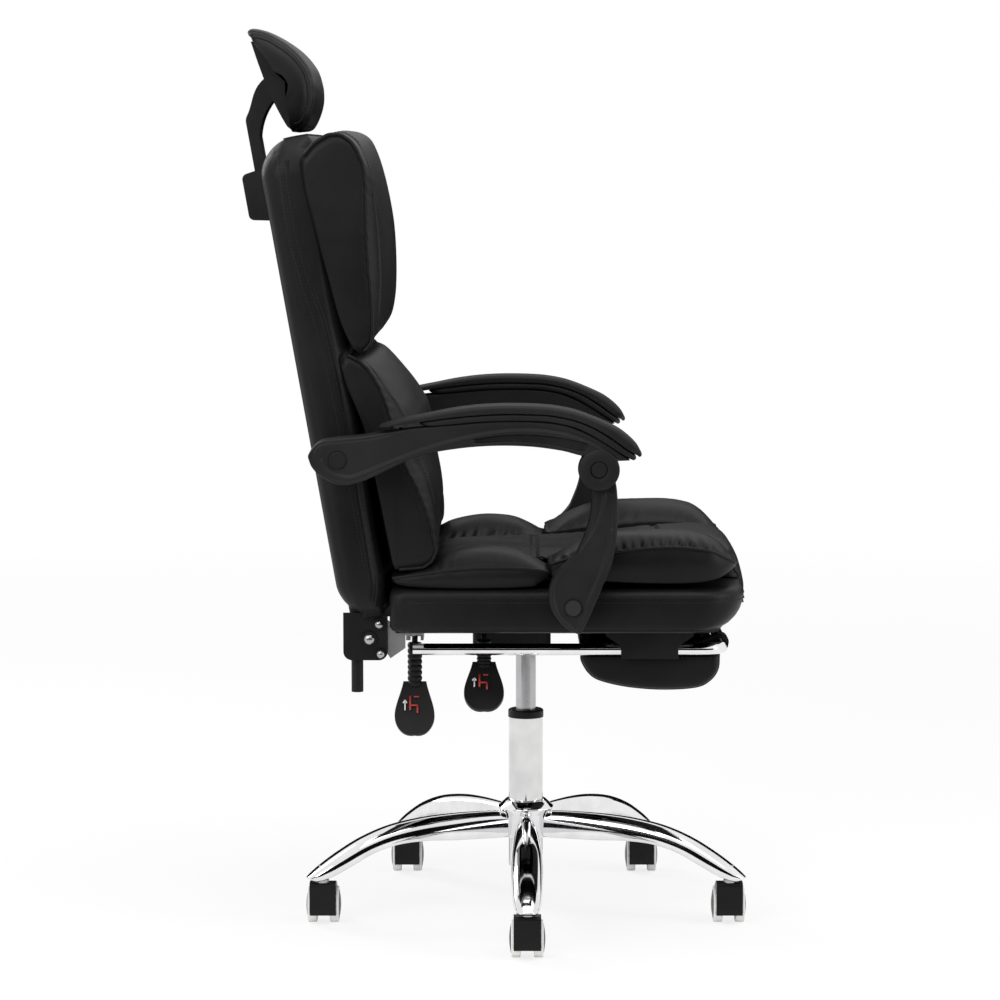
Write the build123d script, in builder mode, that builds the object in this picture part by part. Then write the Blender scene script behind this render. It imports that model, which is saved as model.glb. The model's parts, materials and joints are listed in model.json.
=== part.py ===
from build123d import *
import os
from math import asin, cos, degrees, radians, sin

os.makedirs("parts", exist_ok=True)

# A reclining swivel chair with a pull-out footrest, in millimetres, +Z up.
# The floor is z = 0 and the gas column stands on x = y = 0. The chair faces -Y,
# so the sitter's right hand is towards -X. Side outlines are drawn as
# (forward, height) on side_plane, where forward is the distance towards -Y.

# ---------------------------------------------------------------- running fits
shaft_gap = 0.05        # radial gap of a pin or rod that turns in its bore
seat_gap = 0.3          # gap between fixed pieces that rest on each other
soft_gap = 0.6          # gap that keeps upholstery off its neighbours

# ---------------------------------------------------------------- star base
star_arms = 5
star_radius = 296       # column axis to a caster stem
star_wall = 2.4         # pressed steel, open beneath
arm_overhang = 22       # arm end beyond the stem
arm_root_half = 16
arm_middle_half = 22
arm_end_half = 16
arm_root_top = 147
arm_end_top = 66
arm_nose_half = 11
arm_edge_round = 6
hub_radius = 34.5
hub_collar_radius = 40
hub_bottom = 108
hub_top = 160
stem_boss_radius = 10
arm_depth_below = 20    # how far the boss may stand below the arm

# ---------------------------------------------------------------- casters
wheel_radius = 25
wheel_width = 12.5
wheel_spacing = 18      # clear space between the two wheels
tyre_thickness = 4.5
tyre_round = 1.6
wheel_dome = 2.6        # how far the wheel face bulges
caster_trail = 20       # stem axis to axle
axle_radius = 3
hood_width = 36.5
hood_top = 60
hood_bottom = 14
hood_wall = 2.2
hood_clearance = 1.3    # between tread and hood
caster_web = 15         # thickness of the web that holds the axle
stem_radius = 5.5
stem_collar_radius = 8.5
stem_length = 24        # above the washer
stem_washer = 3.7
stem_socket = 14        # depth of the stem in the hood

# ---------------------------------------------------------------- gas column
column_radius = 24
column_wall = 1.6
column_bottom = 66
column_top = 277
column_floor = 3
bearing_height = 6
bearing_radius = 16
bushing_flange_radius = 24.8
bushing_flange_height = 11
bushing_length = 60
cylinder_radius = 14
cylinder_wall = 2.6
cylinder_bottom = 166
cylinder_cone_length = 28
cylinder_head_length = 40
cylinder_cap = 10
cylinder_cone_radius = 12.8
rod_radius = 5
rod_piston_radius = 11
rod_clip_radius = 8
rod_clip_height = 3
rod_shoulder_radius = 12
button_radius = 4
button_stroke = 4.6
piston_top = 282
piston_height = 14

# ---------------------------------------------------------------- seat
seat_width = 504
seat_height = 430       # underside of the seat board
seat_rear = -184        # rear end of the boxed seat, forward of the column
seat_front = 266
board_thickness = 12
board_inset = 9         # board edge to the cushion's side
box_height = 57         # boxed seat, from its underside
box_top = seat_height + box_height
box_nose_rise = 42
nose_round = 34
seat_overhang = 31      # nose of the seat in front of its underside
box_corner = 42         # plan radius of the front corners
rail_block_width = 20   # wooden side rail in the seat
rail_block_height = 42
pad_half_width = 128
pad_thickness = 34
bolster_split = 30      # between the front and rear bolsters
bolster_side = 28       # height of a bolster's upright side
tuck_forward = -128     # behind this the seat lies under the lumbar pillow
tuck_height = 20
bolster_rise = 132      # crest of the front bolsters above the seat board
rear_bolster_rise = 110
bolster_crown = seat_height + bolster_rise
rear_bolster_crown = seat_height + rear_bolster_rise

# ---------------------------------------------------------------- mechanism
mechanism_depth = 54    # seat board down to the plate's underside
mechanism_half_width = 62
mechanism_front = 34
mechanism_rear = -74
plate_thickness = 3
socket_radius = 20
mechanism_flange = 14    # bolting flange outside the pan
seat_bolt_radius = 4
bolt_head_radius = 7
bolt_head_height = 4
bolt_bite = 11          # bolt length in the wood

# ---------------------------------------------------------------- recline hinge
pin_forward = -198
pin_rise = 8            # hinge pin above the seat board's underside
pin_height = seat_height + pin_rise
pin_radius = 5
hinge_half_width = 204  # to the inner face of a hinge lug
hinge_plate = 4
bracket_rear = -246
bracket_front = -186.5
bracket_rise = 15       # from the hinge pin
bracket_drop = 49
bracket_top = pin_height + bracket_rise
bracket_bottom = pin_height - bracket_drop
hinge_bar_height = 8
lug_radius = 12
lug_tip_forward = -163
notch_margin = 8
bracket_round = 12
hinge_bar_front = -140
hinge_bar_rear = -172

# ---------------------------------------------------------------- back
back_lean = 10
back_foot_forward = -244.5   # rear face at the hinge's height
back_bottom = 6              # distances up the leaning back from the hinge
back_top = 649
back_half_width = 246
back_thickness_bottom = 62
back_thickness_top = 79
back_round = 26
tube_radius = 8
tube_half_width = 200
tube_depth = 17              # tube axis from the back's rear face
tube_top = back_top - 49
tube_foot_drop = 93          # from the hinge pin
tube_foot = pin_height - tube_foot_drop
tube_bend = 60
back_board_thickness = 9
back_rail_width = 18
back_rail_depth = 34
back_side_padding = 10
back_end_padding = 26
pillow_split = 354       # between lumbar and upper pillow, up the back
lumbar_bottom = 64
upper_half_width = 248
lumbar_half_width = 244

# ---------------------------------------------------------------- headrest
guide_half_width = 44
guide_depth = 40
guide_drop = 31              # guide's upper end below the top of the back
guide_length = 76
guide_top = back_top - guide_drop
guide_bottom = guide_top - guide_length
stem_front_depth = 7         # stem's front face behind the back's rear face
stem_thickness = 15
stem_half_width = 30
stem_lower_end = guide_bottom + 4
head_pivot_depth = 31.5      # in front of the back's rear face
head_pivot_above = 79.6      # above the top of the back, up its lean
head_pivot_climb = back_top + head_pivot_above
head_pivot_forward = (
    back_foot_forward
    + head_pivot_depth * cos(radians(back_lean))
    - head_pivot_climb * sin(radians(back_lean))
)
head_pivot_height = (
    pin_height
    + head_pivot_depth * sin(radians(back_lean))
    + head_pivot_climb * cos(radians(back_lean))
)
yoke_eye_radius = 13
yoke_slot_half = 14
head_half_width = 140
shell_half_width = 112
head_pin_radius = 4
yoke_slot_depth = 30
yoke_pocket_radius = 34
yoke_pocket_gap = 0.5

# ---------------------------------------------------------------- armrests
link_gap = 10                # seat's side to the link
link_inner = seat_width / 2 + link_gap
arm_set_out = 30             # arm's middle from the link's inner face
arm_centre = link_inner + arm_set_out
arm_frame_half = 23
arm_pad_half = 28
arm_rear_forward = -247.5    # pivot on the back
arm_rear_rise = 229          # from the hinge pin
arm_rear_height = pin_height + arm_rear_rise
arm_front_forward = 92.5     # pivot on the link
arm_front_rise = 225         # from the seat board's underside
arm_front_height = seat_height + arm_front_rise
link_foot_forward = 60       # pivot on the seat
link_foot_rise = 40
link_foot_height = seat_height + link_foot_rise
link_thickness = 26
link_eye_radius = 15
arm_disc_radius = 27
arm_bolt_radius = 4
arm_bolt_head = 10
arm_boss_radius = 20
arm_boss_gap = 4.8
linkage_play = 3.2           # gap round the front pin, which the fold takes up

# ---------------------------------------------------------------- footrest
rail_radius = 8
rail_half_width = 170
rail_drop = 32.5        # rail's axis below the seat board
rail_height = seat_height - rail_drop
rail_rear = -154
rail_front = 266
rail_bend = 30
guide_rail_rear = 104
guide_rail_front = 226
guide_slide_rear = 127
guide_slide_front = 204
guide_half = 13
guide_wall = 3.5
rail_cap_length = 4
rail_cap_rim = 2.2
clip_spread = 90
clip_width = 24
rest_half_width = 160
rest_rear = 74
rest_front = 260
rest_drop = 56.5        # footrest's underside below the rails' axis
rest_bottom = rail_height - rest_drop
rest_board_thickness = 10
rest_round = 30

# ---------------------------------------------------------------- levers
lever_rod_radius = 4
lever_x = -144
lever_bend = 9
lift_rod_drop = 14      # rod axis below the seat board
lock_rod_drop = 18
sleeve_radius = 10
sleeve_ribs = 8
paddle_width = 52
paddle_length = 75
paddle_thickness = 6
pivot_pin_radius = 3
pivot_pin_reach = (-15, 11)   # behind and in front of the rod
lift_lever_forward = -58
lift_pivot_x = -56
lift_sleeve_length = 38
lift_paddle_tilt = 40
lock_lever_forward = -152
lock_pivot_x = -90
lock_sleeve_length = 60
lock_paddle_tilt = 25

side_plane = Plane(origin=(0, 0, 0), x_dir=(0, -1, 0), z_dir=(-1, 0, 0))
back_plane = Plane(
    origin=(0, -back_foot_forward, pin_height),
    x_dir=(0, -cos(radians(back_lean)), sin(radians(back_lean))),
    z_dir=(-1, 0, 0),
)


def mirrored(part):
    """The same piece on the other side of the chair."""
    return part.mirror(Plane.YZ)


def block(x_limits, forward_limits, height_limits):
    """A straight-sided block between two limits along each axis."""
    with BuildPart() as solid:
        with Locations((min(x_limits), -max(forward_limits), min(height_limits))):
            Box(
                max(x_limits) - min(x_limits),
                max(forward_limits) - min(forward_limits),
                max(height_limits) - min(height_limits),
                align=(Align.MIN, Align.MIN, Align.MIN),
            )
    return solid.part


def cross_pin(forward, height, radius, x_limits):
    """A round bar across the chair."""
    with BuildPart() as pin:
        with BuildSketch(side_plane.offset(-max(x_limits))):
            with Locations((forward, height)):
                Circle(radius)
        extrude(amount=max(x_limits) - min(x_limits))
    return pin.part


def upright_pin(x, forward, radius, height_limits):
    """A round bar that stands upright."""
    with BuildPart() as pin:
        with BuildSketch(Plane.XY.offset(min(height_limits))):
            with Locations((x, -forward)):
                Circle(radius)
        extrude(amount=max(height_limits) - min(height_limits))
    return pin.part


def turned(outline):
    """A solid of revolution about the column, from (radius, height) points."""
    with BuildPart() as solid:
        with BuildSketch(Plane.XZ):
            with BuildLine():
                Polyline(*outline, close=True)
            make_face()
        revolve(axis=Axis.Z)
    return solid.part


def bent_bar(corners, bends, radius):
    """A round bar that runs straight between rounded bends."""
    with BuildPart() as bar:
        with BuildLine() as path:
            FilletPolyline(*corners, radius=bends)
        with BuildSketch(Plane(origin=path.line @ 0, z_dir=path.line % 0)):
            Circle(radius)
        sweep()
    return bar.part


def finish(piece, name):
    """Name a finished piece and write it out."""
    piece.label = name
    export_step(piece, f"parts/{name}.step")


# ---------------------------------------------------------------- star base
arm_stations = (
    # distance out, half width, crest, lower edge
    (column_radius + 4, arm_root_half, arm_root_top, hub_bottom),
    (star_radius - 136, arm_middle_half - 1, arm_root_top - 4, hub_bottom + 3),
    (star_radius - 68, arm_middle_half, arm_root_top - 20, hub_bottom - 3),
    (star_radius - 21, arm_middle_half - 2, arm_end_top + 40, arm_end_top + 16),
    (star_radius + 4, arm_end_half, arm_end_top + 23, arm_end_top - 3),
    (star_radius + arm_overhang, arm_nose_half, arm_end_top + 5, arm_end_top - 4.5),
)


def star_arm_form(wall, drop, crest_round):
    """The arm inside its wall: its side outline extruded and cut to its plan outline."""
    tip = star_radius + arm_overhang - wall
    crest_line = [(min(reach, tip), crest - wall) for reach, _, crest, _ in arm_stations]
    edge_line = [(min(reach, tip), edge - drop) for reach, _, _, edge in arm_stations]
    plan_line = [(min(reach, tip), half - wall) for reach, half, _, _ in arm_stations]
    with BuildPart() as form:
        with BuildSketch(Plane.XZ):
            with BuildLine():
                crest = Spline(*crest_line)
                edge = Spline(*edge_line)
                Line(crest @ 1, edge @ 1)
                Line(crest @ 0, edge @ 0)
            make_face()
        extrude(amount=2 * arm_middle_half, both=True)
        with BuildSketch(Plane.XY):
            with BuildLine():
                near = Spline(*plan_line)
                far = Spline(*[(reach, -half) for reach, half in plan_line])
                Line(near @ 0, far @ 0)
                Line(near @ 1, far @ 1)
            make_face()
        extrude(amount=2 * hub_top, mode=Mode.INTERSECT)
        if crest_round:
            long_edges = form.faces().sort_by(Axis.Z)[-1].edges().sort_by(SortBy.LENGTH)[-2:]
            fillet(long_edges, crest_round)
    return form.part


boss_top = arm_end_top + stem_length
boss_bottom = hood_top + seat_gap + stem_washer

with BuildPart() as stem_boss:
    with Locations((star_radius, 0, boss_bottom)):
        Cylinder(
            stem_boss_radius,
            boss_top - boss_bottom + arm_edge_round,
            align=(Align.CENTER, Align.CENTER, Align.MIN),
        )
    add(star_arm_form(0, arm_depth_below, 0), mode=Mode.INTERSECT)

with BuildPart() as star_arm:
    add(star_arm_form(0, 0, arm_edge_round))
    add(star_arm_form(star_wall, 2 * star_wall, 0), mode=Mode.SUBTRACT)
    add(stem_boss.part)

with BuildPart() as star_base:
    add(
        turned(
            (
                (0, hub_bottom),
                (hub_radius, hub_bottom),
                (hub_radius, hub_top - 22),
                (hub_collar_radius, hub_top - 12),
                (hub_collar_radius, hub_top - 5),
                (hub_collar_radius - 7, hub_top),
                (0, hub_top),
            )
        )
    )
    with PolarLocations(0, star_arms, start_angle=180):
        add(star_arm.part)
    with Locations((0, 0, hub_bottom)):
        Cylinder(
            column_radius + seat_gap,
            hub_top,
            align=(Align.CENTER, Align.CENTER, Align.MIN),
            mode=Mode.SUBTRACT,
        )
    with PolarLocations(star_radius, star_arms, start_angle=180):
        Cylinder(
            stem_radius + shaft_gap,
            boss_top,
            align=(Align.CENTER, Align.CENTER, Align.MIN),
            mode=Mode.SUBTRACT,
        )
finish(star_base.part, "star_base")

# ---------------------------------------------------------------- casters
hood_outer = wheel_radius + hood_clearance + hood_wall
hood_inner = wheel_radius + hood_clearance
wheel_inner = wheel_spacing / 2
wheel_outer = wheel_inner + wheel_width
hub_wheel_radius = wheel_radius - tyre_thickness
dome_radius = (hub_wheel_radius**2 + wheel_dome**2) / (2 * wheel_dome)
hood_front_angle = 180 + degrees(asin((wheel_radius - hood_bottom) / hood_outer))
hood_rear_angle = 20


def on_wheel_arc(radius, angle):
    """A point at an angle round the axle."""
    return (
        caster_trail + radius * cos(radians(angle)),
        wheel_radius + radius * sin(radians(angle)),
    )


hood_nose = caster_trail - hood_outer
with BuildPart() as caster_hood:
    with BuildSketch(Plane.XZ):
        with BuildLine():
            outer_front = ThreePointArc(
                on_wheel_arc(hood_outer, hood_front_angle),
                on_wheel_arc(hood_outer, (180 + hood_front_angle) / 2),
                on_wheel_arc(hood_outer, 180),
            )
            brow = FilletPolyline(
                outer_front @ 1,
                (hood_nose, hood_top),
                (stem_collar_radius + 2, hood_top),
                on_wheel_arc(hood_outer, 62),
                radius=5,
            )
            outer_rear = ThreePointArc(
                brow @ 1,
                on_wheel_arc(hood_outer, 40),
                on_wheel_arc(hood_outer, hood_rear_angle),
            )
            inner = ThreePointArc(
                on_wheel_arc(hood_inner, hood_rear_angle),
                on_wheel_arc(hood_inner, 110),
                on_wheel_arc(hood_inner, hood_front_angle),
            )
            Line(outer_rear @ 1, inner @ 0)
            Line(inner @ 1, outer_front @ 0)
        make_face()
    extrude(amount=hood_width / 2, both=True)
    # web between the wheels, cut off above the floor
    with BuildSketch(Plane.XZ):
        with Locations((caster_trail, wheel_radius)):
            Circle(hood_inner + hood_wall / 2)
        with Locations((caster_trail, wheel_radius - hood_outer)):
            Rectangle(2 * hood_outer, 2 * (hood_outer - 9), mode=Mode.SUBTRACT)
    extrude(amount=caster_web / 2, both=True)
    with BuildSketch(Plane.XZ):
        with Locations((caster_trail, wheel_radius)):
            Circle(axle_radius + 4)
    extrude(amount=caster_web / 2, both=True)
    with BuildSketch(Plane.XZ):
        with Locations((caster_trail, wheel_radius)):
            Circle(axle_radius + shaft_gap)
    extrude(amount=hood_width, both=True, mode=Mode.SUBTRACT)
    with Locations((0, 0, hood_top - stem_socket)):
        Cylinder(
            stem_radius + shaft_gap,
            2 * stem_socket,
            align=(Align.CENTER, Align.CENTER, Align.MIN),
            mode=Mode.SUBTRACT,
        )

axle_line = Axis((caster_trail, 0, wheel_radius), (0, 1, 0))
axle_plane = Plane(origin=(caster_trail, 0, wheel_radius), x_dir=(0, 0, 1), z_dir=(1, 0, 0))


with BuildPart() as caster_wheels:
    with BuildSketch(axle_plane):
        with BuildLine():
            Polyline(
                (hub_wheel_radius, -wheel_outer),
                (hub_wheel_radius, -wheel_inner),
                (axle_radius, -wheel_inner),
                (axle_radius, wheel_inner),
                (hub_wheel_radius, wheel_inner),
                (hub_wheel_radius, wheel_outer),
            )
            for side in (-1, 1):
                RadiusArc(
                    (hub_wheel_radius, side * wheel_outer),
                    (0, side * (wheel_outer + wheel_dome)),
                    side * -dome_radius,
                )
            Line((0, -wheel_outer - wheel_dome), (0, wheel_outer + wheel_dome))
        make_face()
    revolve(axis=axle_line)

with BuildPart() as caster_tyres:
    with BuildSketch(axle_plane):
        with BuildLine():
            FilletPolyline(
                (hub_wheel_radius + shaft_gap, wheel_inner),
                (wheel_radius, wheel_inner),
                (wheel_radius, wheel_outer),
                (hub_wheel_radius + shaft_gap, wheel_outer),
                radius=tyre_round,
            )
            Line(
                (hub_wheel_radius + shaft_gap, wheel_outer),
                (hub_wheel_radius + shaft_gap, wheel_inner),
            )
        make_face()
    revolve(axis=axle_line)
    mirror(about=Plane.XZ)

with BuildPart() as caster_stem:
    with BuildSketch(Plane.XY.offset(hood_top - stem_socket + seat_gap)):
        Circle(stem_radius)
    extrude(amount=boss_top - hood_top + stem_socket - 6)
    with BuildSketch(Plane.XY.offset(hood_top + seat_gap)):
        Circle(stem_collar_radius)
    extrude(amount=stem_washer)

caster_places = PolarLocations(star_radius, star_arms, start_angle=180, rotate=False)
with BuildPart() as caster_stems:
    with caster_places:
        add(caster_stem.part)
finish(caster_stems.part, "caster_stems")

for number, place in enumerate(caster_places.locations, start=1):
    for piece, name in (
        (caster_hood.part, "caster_hood"),
        (caster_wheels.part, "caster_wheels"),
        (caster_tyres.part, "caster_tyres"),
    ):
        finish(piece.moved(place), f"{name}_{number}")

# ---------------------------------------------------------------- gas column
column_bore = column_radius - column_wall
mechanism_under = seat_height - mechanism_depth
cylinder_top = mechanism_under + cylinder_cone_length
cylinder_bore = cylinder_radius - cylinder_wall
bearing_top = column_bottom + column_floor + bearing_height
lift_rod_height = seat_height - lift_rod_drop
lock_rod_height = seat_height - lock_rod_drop
button_top = lift_rod_height - lever_rod_radius - seat_gap

finish(
    turned(
        (
            (column_bore, column_top),
            (column_radius, column_top),
            (column_radius, column_bottom),
            (rod_radius + shaft_gap, column_bottom),
            (rod_radius + shaft_gap, column_bottom + column_floor),
            (column_bore, column_bottom + column_floor),
        )
    ),
    "column_tube",
)

with BuildPart() as column_bushing:
    with BuildSketch(Plane.XZ):
        with BuildLine():
            Polyline(
                (bushing_flange_radius - 3, column_top + bushing_flange_height),
                (cylinder_radius + shaft_gap, column_top + bushing_flange_height),
                (cylinder_radius + shaft_gap, column_top - bushing_length),
                (column_bore - shaft_gap, column_top - bushing_length),
                (column_bore - shaft_gap, column_top),
                (bushing_flange_radius, column_top),
                (bushing_flange_radius, column_top + bushing_flange_height - 3),
            )
            RadiusArc(
                (bushing_flange_radius, column_top + bushing_flange_height - 3),
                (bushing_flange_radius - 3, column_top + bushing_flange_height),
                -3,
            )
        make_face()
    revolve(axis=Axis.Z)
finish(column_bushing.part, "column_bushing")

finish(
    turned(
        (
            (rod_radius + seat_gap, bearing_top),
            (bearing_radius, bearing_top),
            (bearing_radius, bearing_top - bearing_height),
            (rod_radius + seat_gap, bearing_top - bearing_height),
        )
    ),
    "thrust_bearing",
)

shoulder = bearing_top + seat_gap
finish(
    turned(
        (
            (0, column_bottom - rod_clip_height - seat_gap),
            (rod_clip_radius, column_bottom - rod_clip_height - seat_gap),
            (rod_clip_radius, column_bottom - seat_gap),
            (rod_radius, column_bottom - seat_gap),
            (rod_radius, shoulder),
            (rod_shoulder_radius, shoulder),
            (rod_shoulder_radius, shoulder + rod_clip_height),
            (rod_radius, shoulder + rod_clip_height),
            (rod_radius, piston_top - piston_height),
            (rod_piston_radius, piston_top - piston_height),
            (rod_piston_radius, piston_top),
            (0, piston_top),
        )
    ),
    "piston_rod",
)

cylinder_ceiling = cylinder_top - cylinder_head_length
finish(
    turned(
        (
            (rod_radius + shaft_gap, cylinder_bottom),
            (cylinder_radius, cylinder_bottom),
            (cylinder_radius, mechanism_under),
            (cylinder_cone_radius, cylinder_top),
            (button_radius + shaft_gap, cylinder_top),
            (button_radius + shaft_gap, cylinder_ceiling),
            (cylinder_bore, cylinder_ceiling),
            (cylinder_bore, cylinder_bottom + cylinder_cap),
            (rod_radius + shaft_gap, cylinder_bottom + cylinder_cap),
        )
    ),
    "gas_cylinder",
)
finish(
    upright_pin(0, 0, button_radius, (cylinder_ceiling + button_stroke + 1, button_top)),
    "release_button",
)

# ---------------------------------------------------------------- seat board
board_half_width = seat_width / 2 - board_inset
board_top = seat_height + board_thickness
rail_block_top = board_top + rail_block_height
seat_nose = seat_front + seat_overhang

lug_outer = hinge_half_width + hinge_plate
hinge_notch = (
    (hinge_half_width - notch_margin, lug_outer + hinge_plate + notch_margin),
    (seat_rear - 1, hinge_bar_rear + notch_margin / 2),
    (seat_height - 3, pin_height + pin_radius + 3 * notch_margin),
)

bar_middle = (hinge_bar_front + hinge_bar_rear) / 2
flange_middle = mechanism_half_width + mechanism_flange / 2
mechanism_bolts = [
    (side * flange_middle, forward)
    for side in (-1, 1)
    for forward in (mechanism_front - 16, mechanism_rear + 16)
]
guide_bolts = [
    (side * rail_half_width, forward)
    for side in (-1, 1)
    for forward in (guide_rail_rear + 10, guide_rail_front - 10)
]
hinge_bolts = [(side * (rail_half_width + 8), bar_middle) for side in (-1, 0, 1)]

with BuildPart() as seat_board:
    with BuildSketch(Plane.XY.offset(seat_height)):
        with BuildLine():
            FilletPolyline(
                (-board_half_width, -seat_rear - board_inset),
                (-board_half_width, -seat_front + board_inset),
                (board_half_width, -seat_front + board_inset),
                (board_half_width, -seat_rear - board_inset),
                radius=box_corner - board_inset,
            )
            Line(
                (board_half_width, -seat_rear - board_inset),
                (-board_half_width, -seat_rear - board_inset),
            )
        make_face()
    extrude(amount=board_thickness)
    for side in (-1, 1):
        add(
            block(
                (side * board_half_width, side * (board_half_width - rail_block_width)),
                (seat_rear + board_inset, seat_front - box_corner),
                (board_top, rail_block_top),
            )
        )
        add(
            cross_pin(
                link_foot_forward,
                link_foot_height,
                arm_bolt_radius + shaft_gap,
                (side * seat_width, side * (board_half_width - rail_block_width)),
            ),
            mode=Mode.SUBTRACT,
        )
        near, far = hinge_notch[0]
        add(block((side * near, side * far), *hinge_notch[1:]), mode=Mode.SUBTRACT)
    for x, forward in mechanism_bolts + guide_bolts + hinge_bolts:
        add(
            upright_pin(
                x, forward, seat_bolt_radius + shaft_gap, (0, seat_height + bolt_bite)
            ),
            mode=Mode.SUBTRACT,
        )
finish(seat_board.part, "seat_board")


# ---------------------------------------------------------------- upholstery of the seat
def board_space(gap):
    """The room that the board and its side rails take up, with a gap round it."""
    half = board_half_width + gap
    with BuildPart() as room:
        with BuildSketch(Plane.XY.offset(seat_height - gap)):
            with BuildLine():
                FilletPolyline(
                    (-half, -seat_rear - board_inset + gap),
                    (-half, -seat_front + board_inset - gap),
                    (half, -seat_front + board_inset - gap),
                    (half, -seat_rear - board_inset + gap),
                    radius=box_corner - board_inset + gap,
                )
                Line(
                    (half, -seat_rear - board_inset + gap),
                    (-half, -seat_rear - board_inset + gap),
                )
            make_face()
        extrude(amount=board_thickness + 2 * gap)
        for side in (-1, 1):
            add(
                block(
                    (side * half, side * (half - rail_block_width - 2 * gap)),
                    (seat_rear + board_inset - gap, seat_front - box_corner + gap),
                    (board_top - gap, rail_block_top + gap),
                )
            )
    return room.part


with BuildPart() as seat_cushion:
    with BuildSketch(side_plane):
        with BuildLine():
            nose = FilletPolyline(
                (seat_rear, seat_height),
                (seat_front, seat_height),
                (seat_nose, seat_height + box_nose_rise),
                (seat_nose, box_top),
                radius=[nose_round, nose_round / 3],
            )
            Polyline(nose @ 1, (seat_rear, box_top), nose @ 0)
        make_face()
    extrude(amount=seat_width / 2, both=True)
    with BuildSketch(Plane.XY):
        with BuildLine():
            FilletPolyline(
                (-seat_width / 2, -seat_rear),
                (-seat_width / 2, -seat_nose),
                (seat_width / 2, -seat_nose),
                (seat_width / 2, -seat_rear),
                radius=box_corner + seat_overhang,
            )
            Line((seat_width / 2, -seat_rear), (-seat_width / 2, -seat_rear))
        make_face()
    extrude(amount=2 * seat_height, mode=Mode.INTERSECT)
    add(board_space(soft_gap), mode=Mode.SUBTRACT)
    for side in (-1, 1):
        near, far = hinge_notch[0]
        add(block((side * near, side * far), *hinge_notch[1:]), mode=Mode.SUBTRACT)
        add(
            cross_pin(
                link_foot_forward,
                link_foot_height,
                arm_bolt_radius + soft_gap,
                (side * seat_width, side * (board_half_width - rail_block_width)),
            ),
            mode=Mode.SUBTRACT,
        )
finish(seat_cushion.part, "seat_cushion")

pad_bottom = box_top + soft_gap
with BuildPart() as seat_pad:
    with BuildSketch(side_plane):
        with BuildLine():
            crown = Spline(
                (seat_rear + 14, pad_bottom + tuck_height),
                (tuck_forward - 6, pad_bottom + tuck_height),
                (tuck_forward + 16, pad_bottom + pad_thickness - 4),
                (-60, pad_bottom + pad_thickness + 2),
                (120, pad_bottom + pad_thickness + 10),
                (seat_nose - 52, pad_bottom + pad_thickness + 20),
                (seat_nose - 18, pad_bottom + pad_thickness + 6),
                (seat_nose, pad_bottom + 4),
            )
            Polyline(
                crown @ 1,
                (seat_nose, pad_bottom),
                (seat_rear + 14, pad_bottom),
                crown @ 0,
            )
        make_face()
    extrude(amount=pad_half_width, both=True)
finish(seat_pad.part, "seat_pad")


def bolster(side_outline):
    """One side bolster: its rounded section, cut to its outline in side view."""
    edge = seat_width / 2
    inner = pad_half_width + soft_gap
    with BuildPart() as roll:
        with BuildSketch(side_plane.offset(inner)):
            with BuildLine():
                crest = Spline(*side_outline)
                Polyline(
                    crest @ 1,
                    ((crest @ 1).X, pad_bottom),
                    ((crest @ 0).X, pad_bottom),
                    crest @ 0,
                )
            make_face()
        extrude(amount=edge - inner)
        section_height = max(height for _, height in side_outline) + 4
        with BuildSketch(Plane.XZ):
            with BuildLine():
                arch = Spline(
                    (-edge, pad_bottom + bolster_side),
                    (-edge + 16, section_height - 14),
                    (-(inner + edge) / 2, section_height),
                    (-inner - 12, section_height - 8),
                    (-inner, section_height - 22),
                )
                Polyline(arch @ 1, (-inner, pad_bottom), (-edge, pad_bottom), arch @ 0)
            make_face()
        extrude(amount=2 * seat_nose, both=True, mode=Mode.INTERSECT)
    return roll.part


front_crest = (
    (bolster_split + soft_gap, bolster_crown - 34),
    (bolster_split + 14, bolster_crown - 12),
    (bolster_split + 90, bolster_crown),
    (seat_front - 50, bolster_crown),
    (seat_front - 8, bolster_crown - 14),
    (seat_front + 8, bolster_crown - 40),
)
rear_crest = (
    (bolster_split - soft_gap, rear_bolster_crown - 26),
    (bolster_split - 14, rear_bolster_crown - 8),
    (-60, rear_bolster_crown),
    (tuck_forward + 18, rear_bolster_crown - 10),
    (tuck_forward - 2, pad_bottom + tuck_height),
    (seat_rear + 8, pad_bottom + tuck_height - 2),
)
with BuildPart() as seat_bolsters:
    for side_outline in (front_crest, rear_crest):
        roll = bolster(side_outline)
        add(roll)
        add(mirrored(roll))
finish(seat_bolsters.part, "seat_bolsters")

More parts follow.
